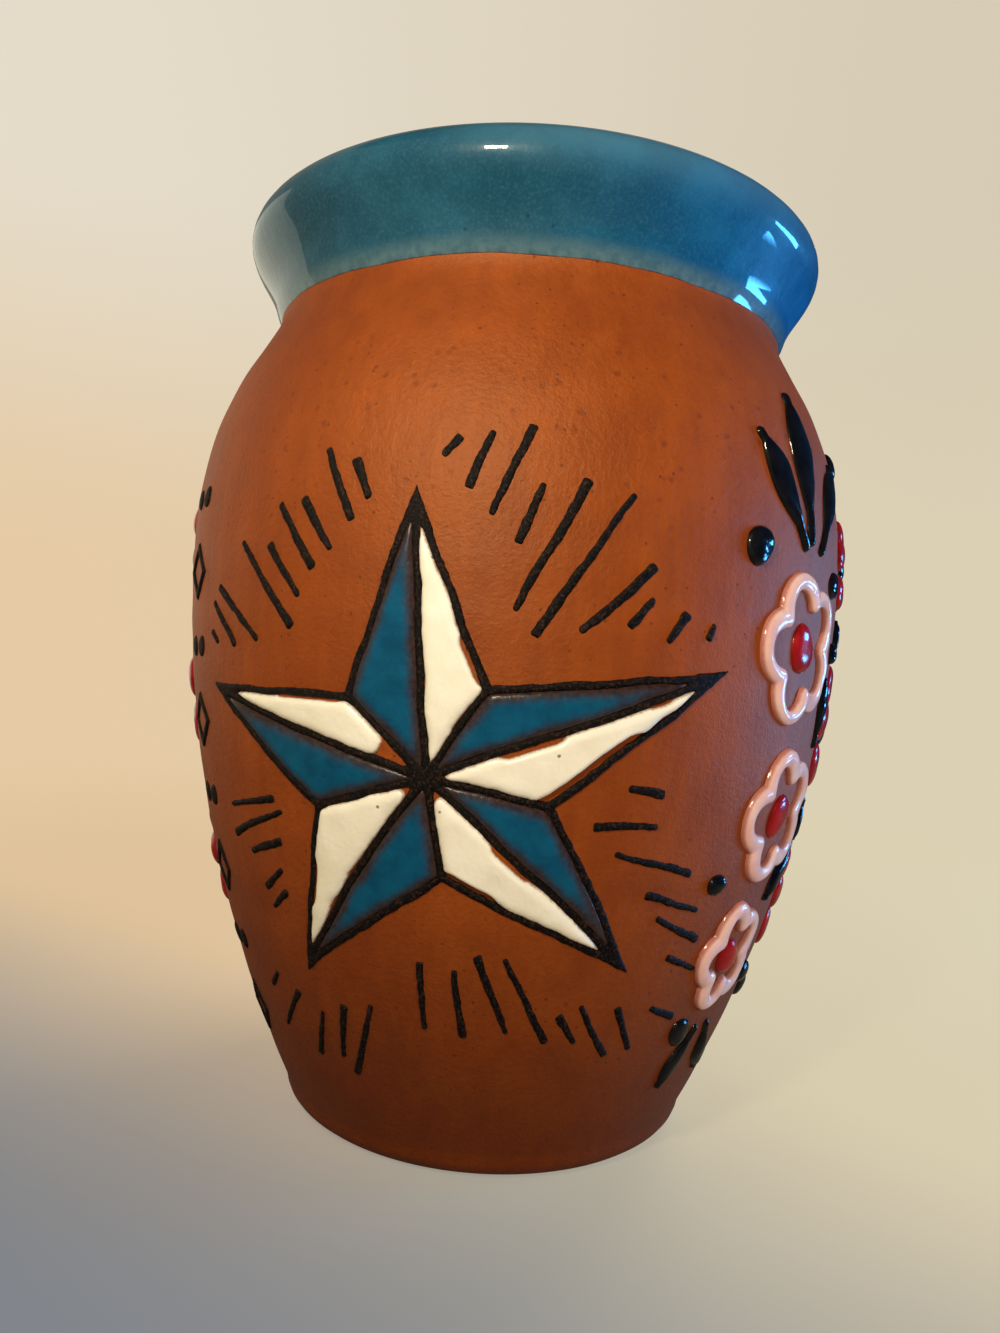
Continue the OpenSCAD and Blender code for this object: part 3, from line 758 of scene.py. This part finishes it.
def cutTiles(field, box, step):
    # triangles of the places in box where field is below zero, cut along its zero line
    xs = np.arange(box[0], box[1] + step, step)
    zs = np.arange(box[2], box[3] + step, step)
    x, z = np.meshgrid(xs, zs, indexing="ij")
    d = field(x, z)
    d = np.where(np.abs(d) < 0.12 * step, 0, d).ravel()
    x, z = x.ravel(), z.ravel()
    index = np.arange(d.size).reshape(len(xs), len(zs))
    a, b, c, e = index[:-1, :-1], index[1:, :-1], index[1:, 1:], index[:-1, 1:]
    odd = (np.add.outer(np.arange(len(xs) - 1), np.arange(len(zs) - 1)) % 2).astype(bool)
    triangles = np.vstack([
        np.stack([a[~odd], b[~odd], c[~odd]], 1), np.stack([a[~odd], c[~odd], e[~odd]], 1),
        np.stack([a[odd], b[odd], e[odd]], 1), np.stack([b[odd], c[odd], e[odd]], 1)])
    at = d[triangles]
    inside, outside = (at < 0).any(1), (at > 0).any(1)
    faces = triangles[inside & ~outside].tolist()
    newX, newZ, crossings = [], [], {}
    for corner in triangles[inside & outside].tolist():
        loop = []
        for i, j in zip(corner, corner[1:] + corner[:1]):
            if d[i] <= 0:
                loop.append(i)
            if d[i] * d[j] < 0:
                key = (min(i, j), max(i, j))
                if key not in crossings:
                    t = d[key[0]] / (d[key[0]] - d[key[1]])
                    crossings[key] = d.size + len(newX)
                    newX.append(x[key[0]] + (x[key[1]] - x[key[0]]) * t)
                    newZ.append(z[key[0]] + (z[key[1]] - z[key[0]]) * t)
                loop.append(crossings[key])
        faces += [[loop[0], loop[k], loop[k + 1]] for k in range(1, len(loop) - 1)]
    faces = np.array(faces)
    x, z = np.concatenate([x, newX]), np.concatenate([z, newZ])
    d = np.concatenate([d, np.zeros(len(newX))])
    used, faces = np.unique(faces, return_inverse=True)
    return x[used], z[used], -d[used], faces.reshape(-1, 3)


bead = {
    # how far a trailed line's edge stands off the wall, how deep it is sunk, and how it swells
    "stand": 0.03,
    "sink": 0.08,
    "swell": 0.1,
    "swellSize": 2.1,
    # share of a bead's half width that its round edge takes
    "roundShare": 0.9,
}


def trail(name, patches, node, slot):
    # lays glaze on the wall: each patch is a field, its box, thickness, width of round edge, and tile size
    points, tops, bottoms, walls, edges = [], [], [], [], []
    count = 0
    for field, box, thickness, roundEdge, step in patches:
        x, z, depth, faces = cutTiles(field, box, step)
        rise = thickness * np.sqrt(1 - (1 - np.clip(depth / roundEdge, 0, 1)) ** 2)
        ripple = 1 + bead["swell"] * smoothNoise(x / bead["swellSize"], z / bead["swellSize"], 31)
        n = len(x)
        points += [onWall(x, z, bead["stand"] + rise * ripple), onWall(x, z, -bead["sink"])]
        directed = np.vstack([faces[:, [0, 1]], faces[:, [1, 2]], faces[:, [2, 0]]])
        keys = directed[:, 0] * n + directed[:, 1]
        border = directed[~np.isin(keys, directed[:, 1] * n + directed[:, 0])]
        tops.append(faces + count)
        bottoms.append(faces[:, ::-1] + n + count)
        walls.append(np.stack([border[:, 1], border[:, 0], border[:, 0] + n, border[:, 1] + n], 1) + count)
        edges += [depth, depth * 0]
        count += 2 * n
    walls = np.vstack(walls).tolist()
    faces = np.vstack(tops + bottoms).tolist() + walls
    piece = makeMesh(name, np.vstack(points), faces, len(walls))
    addValues(piece, "edge", np.concatenate(edges))
    dress(piece, node, slot)


def local(z):
    # how much narrower an arc is at height z than at the belly
    return wallRadius(z) / pot["bellyRadius"]


def towards(angle):
    # the direction at an angle in degrees from the right
    return np.array([math.cos(math.radians(angle)), math.sin(math.radians(angle))])


def boxAround(x, z, across, up):
    return x - across, x + across, z - up, z + up


def boxOver(a, b, margin):
    low, high = np.minimum(a, b) - margin, np.maximum(a, b) + margin
    return low[0], high[0], low[1], high[1]


def wander(x, z, size=4.0, reach=0.15, seed=1):
    # the unsteady hand: moves a place a little
    return (x + reach * smoothNoise(x / size, z / size, seed),
            z + reach * smoothNoise(x / size + 9.3, z / size - 4.1, seed + 1))


def ragged(x, z, reach, seed):
    # a frayed edge, from a coarse wave and a fine one
    return reach * (smoothNoise(x / 0.9, z / 0.9, seed) + 0.45 * smoothNoise(x / 0.32, z / 0.32, seed + 1))


def toSegment(x, z, a, b, narrow):
    # distance to the stretch from a to b, and the share of it passed
    ux, uz = (b[0] - a[0]) * narrow, b[1] - a[1]
    px, pz = (x - a[0]) * narrow, z - a[1]
    t = np.clip((px * ux + pz * uz) / (ux * ux + uz * uz), 0, 1)
    return np.hypot(px - t * ux, pz - t * uz), t


star = {
    "reach": 34,
    "z": 49,
    "line": 0.9,
    "lineThickness": 0.26,
    "fieldThickness": 0.7,
    # bare slivers where the white drew back: a line between two points of the star, the part of it, depth
    "slivers": [(3, 2, 0.02, 0.42, 2.3), ("middle", 2, 0.27, 0.4, 1.5), (7, 6, 0.34, 0.5, 1.7),
                (5, 4, 0.04, 0.2, 1.8), ("middle", 4, 0.33, 0.44, 1.3), (1, 0, 0.08, 0.2, 1.8),
                (9, 8, 0.06, 0.36, 1.4)],
    # tips and hollows in turn, clockwise from the top, as shares of the reach
    "pointShares": [(-0.07, 0.88), (0.19, 0.29), (0.99, 0.38), (0.42, -0.07), (0.79, -0.62),
                    (0.06, -0.33), (-0.55, -0.72), (-0.41, -0.13), (-0.97, 0.23), (-0.28, 0.24)],
    # how far each white field stops short of the star's centre
    "holdBack": {0: 0, 2: 0.6, 4: 1.4, 6: 1.8, 8: 5},
    "step": 0.2,
    # how softly two sides of a shape meet: outside, in blue and line, and in white
    "soft": (0.03, 0.2, 0.18),
    "blueOverlap": 0.12,
    "whiteOverlap": 0.1,
    # how far the edges of line, blue and white fray, how uneven the line is, and how far white draws back
    "fray": (0.075, 0.03, 0.04),
    "uneven": 0.12,
    "retreat": 0.7,
}
starCentre = (0, star["z"])
starPoints = [(star["reach"] * p, star["z"] + star["reach"] * q) for p, q in star["pointShares"]]
starBox = (-35, 35.5, star["z"] - 26.5, star["z"] + 31)


def halfPlane(x, z, a, b, inner, narrow):
    # distance past the line from a to b, below zero on the side of the point inner
    nx, nz = (b[1] - a[1]), -(b[0] - a[0]) * narrow
    length = np.hypot(nx, nz)
    d = ((x - a[0]) * narrow * nx + (z - a[1]) * nz) / length
    side = (inner[0] - a[0]) * nx * narrow + (inner[1] - a[1]) * nz
    return np.where(side > 0, -d, d)


def softMax(values, size):
    top = np.maximum.reduce(values)
    return top + size * np.log(sum(np.exp((v - top) / size) for v in values))


def corners(k):
    # of one of the star's ten triangles
    return starCentre, starPoints[(k + 1) % 10], starPoints[k]


def facet(x, z, k, spoke, outer, soft):
    c, p, q = corners(k)
    narrow = local(z)
    return softMax([halfPlane(x, z, c, p, q, narrow) + spoke, halfPlane(x, z, p, q, c, narrow) + outer,
                    halfPlane(x, z, q, c, p, narrow) + spoke], soft)


def starShape(x, z):
    # distance past the outside of the star
    narrow = local(z)
    d = np.minimum.reduce([facet(x, z, k, 0, 0, star["soft"][0]) for k in range(10)])
    # the spokes inside are no edges, so close to them the outer side alone counts
    outer = np.full(x.shape, -1e3)
    for k in range(10):
        c, p, q = corners(k)
        own = (halfPlane(x, z, c, p, q, narrow) <= 0) & (halfPlane(x, z, q, c, p, narrow) <= 0)
        outer = np.where(own, halfPlane(x, z, p, q, c, narrow), outer)
    return np.where(d < 0, np.maximum(outer, -20), np.where(outer > -1e3, np.maximum(outer, d), d))


def outlineField(x, z):
    x, z = wander(x, z)
    width = star["line"] * (1 - star["uneven"] * smoothNoise(x / 5, z / 5, 17))
    holes = np.minimum.reduce([facet(x, z, k, width / 2, width, star["soft"][1]) for k in range(10)])
    d = np.maximum(starShape(x, z), -holes)
    return d + ragged(x, z, star["fray"][0], 11)


def blueField(k):
    def field(x, z):
        x, z = wander(x, z)
        over = star["blueOverlap"]
        d = facet(x, z, k, star["line"] / 2 - over, star["line"] - over, star["soft"][1])
        return d + ragged(x, z, star["fray"][1], 21)
    return field


def whiteField(k):
    def field(x, z):
        x, z = wander(x, z)
        retreat = star["retreat"] * (smoothNoise(x / 4.2, z / 4.2, 41 + k) - 0.4).clip(0)
        retreat = retreat + 0.06 * smoothNoise(x / 1.3, z / 1.3, 51 + k)
        for start, end, low, high, depth in star["slivers"]:
            p = np.array(starCentre if start == "middle" else starPoints[start])
            along = np.array(starPoints[end]) - p
            away = toSegment(x, z, p + along * low, p + along * high, local(z))[0]
            retreat = np.maximum(retreat, depth - away)
        d = facet(x, z, k, star["line"] / 2, star["line"], star["soft"][2]) - star["whiteOverlap"] + retreat
        back = star["holdBack"][k] + 0.9 - np.hypot(x * local(z), z - star["z"])
        return softMax([d, back], 0.3) + ragged(x, z, star["fray"][2], 61)
    return field


trail("starOutline", [(outlineField, starBox, star["lineThickness"], star["line"] / 2, star["step"])],
      "star_outline", "dark_line_glaze")
trail("blueStarFields", [(blueField(k), starBox, star["fieldThickness"] * 0.75, 1.5, star["step"])
                         for k in range(1, 10, 2)], "star_blue_fields", "star_blue_glaze")
trail("whiteStarFields", [(whiteField(k), starBox, star["fieldThickness"], 1.1, star["step"])
                          for k in range(0, 10, 2)], "star_white_fields", "white_glaze")
print("star trailed")


rays = {
    "width": 1,
    "thickness": 0.2,
    # shares of the width: least, what is added towards the heavy angle, chance, taper and corners
    "least": 0.87,
    "heavier": 0.11,
    "heavyAngle": 70,
    "uneven": 0.1,
    "taper": 0.2,
    "corner": 0.38,
    "fray": 0.08,
    "step": 0.2,
    # clockwise from the top: angle from the right, near and far end as shares of the star's reach, lean
    "shares": [(88.5, 0.96, 1.04, -36), (83, 0.875, 1.065, -11), (77, 0.81, 1.115, -8),
               (71, 0.755, 0.955, 0), (64, 0.57, 1.03, 0), (56, 0.54, 1.075, 2), (45.5, 0.65, 0.96, -3),
               (40, 0.775, 0.895, 7), (33, 0.86, 0.975, 22), (29, 0.99, 1.055, 38),
               (-0.5, 0.67, 0.8, -6), (-10, 0.575, 0.8, 10), (-17, 0.69, 1.005, 3),
               (-22.5, 0.88, 1.12, 8), (-26, 0.98, 1.21, 2), (-30, 1.13, 1.3, 8),
               (-37.5, 1.235, 1.375, 15), (-44.5, 1.09, 1.285, -17), (-50, 0.97, 1.205, -5),
               (-55, 0.94, 1.065, 0), (-61.5, 0.65, 0.99, 1), (-70, 0.6, 0.89, 3),
               (-80, 0.625, 0.87, -2), (-91, 0.605, 0.845, 4), (-108, 0.835, 1.14, -1),
               (-114, 0.905, 1.115, 12), (-120, 1.01, 1.2, 11), (-129, 1.06, 1.275, 1),
               (-135.5, 1.115, 1.205, 0), (-143, 0.755, 0.87, 2), (-148, 0.725, 0.855, 3),
               (-156, 0.665, 0.855, -6), (-162.5, 0.61, 0.935, 4), (-168, 0.635, 0.92, 0),
               (158, 1, 1.07, -20), (153.5, 0.875, 1.095, -17), (149, 0.77, 1.08, -4),
               (138, 0.655, 1.045, -4), (131.5, 0.705, 0.93, -2), (124.5, 0.745, 1.01, 1.5),
               (118.5, 0.76, 0.965, 7), (111, 0.82, 1.075, 5), (106, 0.865, 1.01, 9)],
}


def rayPatch(number, angle, near, far, lean):
    u = towards(angle + lean)
    middle = np.array(starCentre) + towards(angle) * star["reach"] * (near + far) / 2
    half = star["reach"] * (far - near) / 2
    heavy = rays["heavier"] * math.cos(math.radians(angle - rays["heavyAngle"]))
    width = rays["width"] * (rays["least"] + heavy)
    width *= 1 + rays["uneven"] * float(lattice(number, 3, 2))

    def field(x, z):
        x, z = wander(x, z, 5, 0.2, 71)
        narrow = local(z)
        px, pz = (x - middle[0]) * narrow, z - middle[1]
        along = px * u[0] + pz * u[1]
        across = np.abs(-px * u[1] + pz * u[0])
        w = width / 2 * (1 - rays["taper"] * along / half * (1 if number % 2 else -1))
        corner = rays["corner"] * width
        ex, ey = np.abs(along) - half + corner, across - w + corner
        d = np.hypot(ex.clip(0), ey.clip(0)) + np.minimum(np.maximum(ex, ey), 0) - corner
        return d + ragged(x, z, rays["fray"], 81)

    box = boxOver(middle - u * half, middle + u * half, 1.6)
    return field, box, rays["thickness"], width / 2, rays["step"]


trail("starRays", [rayPatch(i, *share) for i, share in enumerate(rays["shares"])],
      "star_rays", "dark_line_glaze")
print("rays trailed")


column = {
    "out": 6,
    "z": 15,
    "pitch": 9.2,
    "motifs": 8,
    "width": 7.6,
    "height": 7,
    "dot": 1.32,
    "fray": 0.06,
    "step": 0.2,
}
columnArc = -(star["reach"] + column["out"])


def diamondPatch(z0):
    def field(x, z):
        x, z = wander(x, z, 4, 0.2, 91)
        w, h = column["width"] / 2, column["height"] / 2
        flat = 1 / math.hypot(1 / w, 1 / h)
        d = (np.abs(x - columnArc) / w + np.abs(z - z0) / h - 1) * flat
        return np.abs(d + star["line"] / 2) - star["line"] / 2 + ragged(x, z, column["fray"], 93)
    box = boxAround(columnArc, z0, column["width"] / 2 + 1, column["height"] / 2 + 1)
    return field, box, star["lineThickness"], star["line"] / 2, column["step"]


def dotPatch(x0, z0, radius, thickness, step, seed=95):
    def field(x, z):
        angle = np.arctan2(z - z0, x - x0)
        size = radius * (1 + 0.06 * np.sin(angle * 2 + seed + x0) + 0.04 * np.sin(angle * 3 + z0))
        return np.hypot((x - x0) * local(z), z - z0) - size
    reach = radius * 1.3 + 0.6
    return field, boxAround(x0, z0, reach, reach), thickness, radius * bead["roundShare"], step


trail("columnDiamonds", [diamondPatch(column["z"] + i * column["pitch"])
                         for i in range(0, column["motifs"], 2)], "column_diamonds", "dark_line_glaze")
trail("columnDots", [dotPatch(columnArc + side * column["width"] / 4, column["z"] + i * column["pitch"],
                              column["dot"], star["lineThickness"], column["step"])
                     for i in range(1, column["motifs"], 2) for side in (-1, 1)],
      "column_dots", "dark_line_glaze")
print("column trailed")


panel = {
    "arcs": [58, -67.5],
    "width": 26,
    "z": 12,
    "height": 83,
    "flower": 9.4,
    "trail": 2.5,
    "trailThickness": 0.85,
    "leafLength": 17,
    "leafWidth": 5,
    "leafTaper": 1.5,
    "leafEndShare": 0.3,
    "petals": 5,
    # a rosette's petals and both kinds of centre, as shares of the flower
    "petalPlace": 0.64,
    "petalShare": 0.34,
    "flowerCentre": 0.3,
    "rosetteCentre": 0.27,
    "bead": 0.8,
    "dot": 2.2,
    "scallop": 0.3,
    "step": 0.24,
    # place across and up the panel, then size
    "flowers": [(-0.42, 0.64, 1), (-0.34, 0.4, 0.92), (-0.44, 0.19, 0.78)],
    "rosettes": [(0.36, 0.52, 0.92), (0.42, 0.24, 0.76), (0.34, 0.78, 0.7)],
    # place of the foot, size, and angle from upright
    "leaves": [(-0.47, 0.78, 0.86, 34), (-0.42, 0.79, 1, 4), (-0.3, 0.78, 0.8, -32),
               (-0.5, 0.08, 0.5, 152), (-0.36, 0.08, 0.5, -150), (-0.01, 0.5, 0.5, 0),
               (0.02, 0.35, 0.5, 142), (0.4, 0.405, 0.34, 180), (0.32, 0.634, 0.3, 0)],
    "dots": [(-0.82, 0.77, 1), (-0.66, 0.08, 0.8), (-0.06, 0.74, 0.8), (-0.76, 0.31, 0.6),
             (0.1, 0.64, 0.6), (-0.02, 0.14, 0.7), (0.28, 0.1, 0.8), (0.3, 0.94, 0.8)],
}


def inPanel(arc, across, up):
    return arc + across * panel["width"], panel["z"] + up * panel["height"]


def flowerPatch(arc, across, up, size):
    x0, z0 = inPanel(arc, across, up)
    reach = panel["flower"] * size
    middle = reach - panel["trail"] / 2
    turn = np.linspace(0, 2 * math.pi, 141)
    out = middle * (1 - panel["scallop"] + panel["scallop"] * np.abs(np.sin(turn * panel["petals"] / 2)))
    path = np.stack([x0 + out * np.cos(turn), z0 + out * np.sin(turn)], 1)

    def field(x, z):
        x, z = wander(x, z, 6, 0.25, 101)
        narrow = local(z)
        d = np.full(x.shape, 1e3)
        for a, b in zip(path, path[1:]):
            d = np.minimum(d, toSegment(x, z, a, b, narrow)[0])
        angle = np.arctan2(z - z0, x - x0)
        waver = 0.94 + 0.1 * np.sin(angle * panel["petals"] + 1) + 0.05 * np.sin(angle * 2 + x0)
        return d - panel["trail"] / 2 * waver

    box = boxAround(x0, z0, reach + 1.5, reach + 1.5)
    return field, box, panel["trailThickness"], panel["trail"] / 2, panel["step"]


def rosettePatches(arc, across, up, size):
    centre = np.array(inPanel(arc, across, up))
    reach = panel["flower"] * size
    petals = []
    for k in range(panel["petals"]):
        x, z = centre + panel["petalPlace"] * reach * towards(90 + 360 / panel["petals"] * k)
        petals.append(dotPatch(x, z, panel["petalShare"] * reach, panel["bead"], panel["step"], k))
    return petals


def leafPatch(arc, across, up, size, angle):
    x0, z0 = inPanel(arc, across, up)
    u = np.array([-math.sin(math.radians(angle)), math.cos(math.radians(angle))])
    length = panel["leafLength"] * size
    half = panel["leafWidth"] * size / 2
    a = np.array([x0, z0])
    b = a + u * length

    def field(x, z):
        x, z = wander(x, z, 5, 0.25, 111)
        d, t = toSegment(x, z, a, b, local(z))
        return d - half * np.maximum(np.sin(math.pi * t ** panel["leafTaper"]), panel["leafEndShare"])

    return field, boxOver(a, b, 3), panel["bead"], half * bead["roundShare"], panel["step"]


def eachArc(table, make):
    return [make(arc, *share) for arc in panel["arcs"] for share in table]


def beadAt(share, unit):
    def make(arc, across, up, size):
        x, z = inPanel(arc, across, up)
        return dotPatch(x, z, unit * size * share, panel["bead"], panel["step"])
    return make


trail("pinkFlowers", eachArc(panel["flowers"], flowerPatch), "pink_flowers", "pink_glaze")
trail("flowerCentres", eachArc(panel["flowers"], beadAt(panel["flowerCentre"], panel["flower"])),
      "flower_centres", "red_glaze")
trail("redRosettes", sum(eachArc(panel["rosettes"], rosettePatches), []), "red_rosettes", "red_glaze")
trail("rosetteCentres", eachArc(panel["rosettes"], beadAt(panel["rosetteCentre"], panel["flower"])),
      "rosette_centres", "black_glaze")
trail("blackLeaves", eachArc(panel["leaves"], leafPatch), "black_leaves", "black_glaze")
trail("blackDots", eachArc(panel["dots"], beadAt(1, panel["dot"])), "black_dots", "black_glaze")
print("side panels trailed")


camera = {
    "distance": 141.335,
    "height": 61.079,
    "orbit": math.radians(10.5),
    "roll": -0.06442,
    "pitch": -0.0019,
    "yaw": 0.0087,
    "lens": 25.98,
    "sensor": 36,
    "clip": (0.01, 20),
}


def setCamera():
    data = bpy.data.cameras.new("camera")
    data.lens = camera["lens"]
    data.sensor_width = camera["sensor"]
    data.clip_start, data.clip_end = camera["clip"]
    eye = bpy.data.objects.new("camera", data)
    bpy.context.scene.collection.objects.link(eye)
    eye.matrix_world = (
        Matrix.Rotation(camera["orbit"], 4, "Z")
        @ Matrix.Translation((0, -camera["distance"] * mm, camera["height"] * mm))
        @ Matrix.Rotation(camera["yaw"], 4, "Z") @ Matrix.Rotation(camera["pitch"], 4, "X")
        @ Matrix.Rotation(camera["roll"], 4, "Y") @ Matrix.Rotation(math.pi / 2, 4, "X"))
    bpy.context.scene.camera = eye


setCamera()

# the studio is measured in metres
studio = {
    "floorRadius": 0.55,
    "bend": 0.35,
    "wallTop": 1.3,
    "segments": 96,
    "floorRings": 12,
    "bendRings": 20,
    # the wall high up and low down, each from left to right, with the fall of light on it painted in, and a
    # painted shadow on the floor in front
    # painted light: the wall's colours change with side and height as the light falls on it
    "high": [rgb(229, 220, 202), rgb(214, 203, 180)],
    "low": [rgb(229, 202, 165), rgb(219, 208, 180)],
    # painted shadow: a grey-blue patch on the floor in front of the mug
    "front": rgb(133, 139, 149),
    # from left to right as shares of the distance, and from low to high
    "sideFade": (-0.7, 0.35),
    "heightFade": (0.12, 0.55),
    # the painted shadow's colour fades out along this way, between these places on it, and away from the mug
    "frontWay": (0.35, 0.94),
    "frontFade": (-0.075, 0.03),
    "frontReach": (0.13, 0.3),
    # what the backdrop throws back on the mug
    "bounce": (0.28, 0.22, 0.16, 1),
    # share of the backdrop's light that shows in glossy places, and the blue room painted on the backdrop
    # for glossy places on the right, as a painted reflection
    "mirrored": 0.3,
    "room": rgb(30, 92, 150),
    "roomFade": (0.08, 0.3),
    # share of the floor at the mug that takes light and shadow, and where it gives way to the glow
    "lit": 0.35,
    "litFade": (0.09, 0.42),
    "sky": (0.9, 0.87, 0.8, 1),
    "skyStrength": 0.03,
    # height of the middle of the mug, which the lamps look at
    "middle": 0.06,
}


def backdrop():
    # a round floor that bends up into a wall all round
    corner = studio["floorRadius"]
    bend = studio["bend"]
    turn = np.linspace(0, math.pi / 2, studio["bendRings"])
    out = np.linspace(0.01, corner, studio["floorRings"])
    line = np.vstack([np.stack([out, 0 * out], 1),
                      np.stack([corner + bend * np.sin(turn), bend - bend * np.cos(turn)], 1)[1:],
                      [[corner + bend, studio["wallTop"]]]])
    count = studio["segments"]
    az = azimuths(count)
    points = np.stack([line[:, 0] * np.sin(az), -line[:, 0] * np.cos(az), line[:, 1] + 0 * az], -1)
    rows = len(line)
    centre = count * rows
    faces = []
    for j in range(count):
        a, b = j * rows, (j + 1) % count * rows
        faces.append((centre, a, b))
        faces += [(a + i, a + i + 1, b + i + 1, b + i) for i in range(rows - 1)]
    points = np.vstack([points.reshape(-1, 3), [[0, 0, 0]]]) / mm
    bowl = makeMesh("floor", points, faces)
    material = bpy.data.materials.new("backdrop")
    material.use_nodes = True
    tree = material.node_tree
    tree.nodes.clear()
    start = Wire(tree)
    where = start.make("TexCoord", {}, {}, "Object")
    direct = start.make("LightPath", {}, {}, "Is Camera Ray")
    glossy = start.make("LightPath", {}, {}, "Is Glossy Ray")
    through = start.make("LightPath", {}, {}, "Is Transmission Ray")
    mirrored = glossy.sum("MAXIMUM", glossy, through)
    distance = where.make("VectorMath", {"operation": "LENGTH"}, {0: where}, "Value")
    x, y, z = (coordinate(where, name) for name in "XYZ")
    side = fade(x / distance, *studio["sideFade"])
    high = fade(z, *studio["heightFade"])
    # painted light: the wall is painted lighter high up and warmer low on the left, for how the light falls
    # on it
    wall = tint(high, tint(side, *studio["low"]), tint(side, *studio["high"]))
    way = x * studio["frontWay"][0] + y * studio["frontWay"][1]
    # painted shadow: a grey-blue patch on the floor in front of the mug, to the left
    paintedShadow = (1 - fade(way, *studio["frontFade"])) * (1 - fade(distance, *studio["frontReach"]))
    colour = tint(paintedShadow, wall, studio["front"])
    level = mirrored * studio["mirrored"] + (1 - mirrored)
    # painted reflection: glossy places on the right see a dim blue room painted there instead
    room = tint(mirrored * fade(x, *studio["roomFade"]), colour, studio["room"])
    glow = start.make("Emission", {}, {"Color": room, "Strength": level})
    dark = tint(mirrored * (1 - studio["mirrored"]), colour, rgb(0, 0, 0))
    floor = start.make("BsdfDiffuse", {}, {"Color": dark})
    far = fade(distance, *studio["litFade"]) * studio["lit"] + (1 - studio["lit"])
    shown = start.make("MixShader", {}, {0: far, 1: floor, 2: glow})
    hidden = start.make("BsdfDiffuse", {}, {"Color": studio["bounce"]})
    seen = direct.sum("MAXIMUM", direct, mirrored)
    whole = start.make("MixShader", {}, {0: seen, 1: hidden, 2: shown})
    start.make("OutputMaterial", {}, {"Surface": whole})
    bowl.data.materials.append(material)


backdrop()


def lamp(name, place, size, power, colour, mirrored=True):
    data = bpy.data.lights.new(name, "AREA")
    data.shape = "RECTANGLE"
    data.size, data.size_y = size
    data.energy = power
    data.color = colour
    light = bpy.data.objects.new(name, data)
    bpy.context.scene.collection.objects.link(light)
    place = Vector(place)
    light.location = place
    light.rotation_euler = (Vector((0, 0, studio["middle"])) - place).to_track_quat("-Z", "Y").to_euler()
    light.visible_glossy = mirrored


def around(azimuth, elevation, distance):
    # a place seen from the middle of the mug, its azimuth counted from the star to the right
    a, e = math.radians(azimuth), math.radians(elevation)
    return (distance * math.cos(e) * math.sin(a), -distance * math.cos(e) * math.cos(a),
            studio["middle"] + distance * math.sin(e))


# name, place, size, power in watts, colour, and False where glossy places don't mirror the lamp
lamp("key", (-0.008, -0.146, 0.13), (0.016, 0.016), 0.127, (1, 0.9, 0.68))
lamp("leftWindow", around(-116, 6, 0.5), (0.42, 0.42), 0.42, (1, 0.98, 0.8))
for elevation in (9, -5.5):
    lamp("pane", around(110, elevation, 0.35), (0.105, 0.03), 0.5, (0.06, 0.34, 0.8))
lamp("back", around(150, 40, 0.7), (0.25, 0.25), 3, (1, 0.9, 0.72), False)
lamp("above", (0.02, 0.12, 0.8), (0.3, 0.3), 1.2, (1, 0.94, 0.84), False)
lamp("leftFill", around(-74, 12, 0.6), (0.3, 0.3), 1, (1, 0.82, 0.4), False)
lamp("rightFill", around(48, 10, 0.6), (0.3, 0.3), 1.6, (1, 0.9, 0.7), False)

world = bpy.data.worlds.new("world")
bpy.context.scene.world = world
world.use_nodes = True
worldStart = Wire(world.node_tree)
world.node_tree.nodes.clear()
sky = worldStart.make("Background", {}, {"Color": studio["sky"], "Strength": studio["skyStrength"]})
worldStart.make("OutputWorld", {}, {"Surface": sky})

bpy.context.scene.view_settings.view_transform = "Standard"
print("studio set")

bpy.context.view_layer.update()
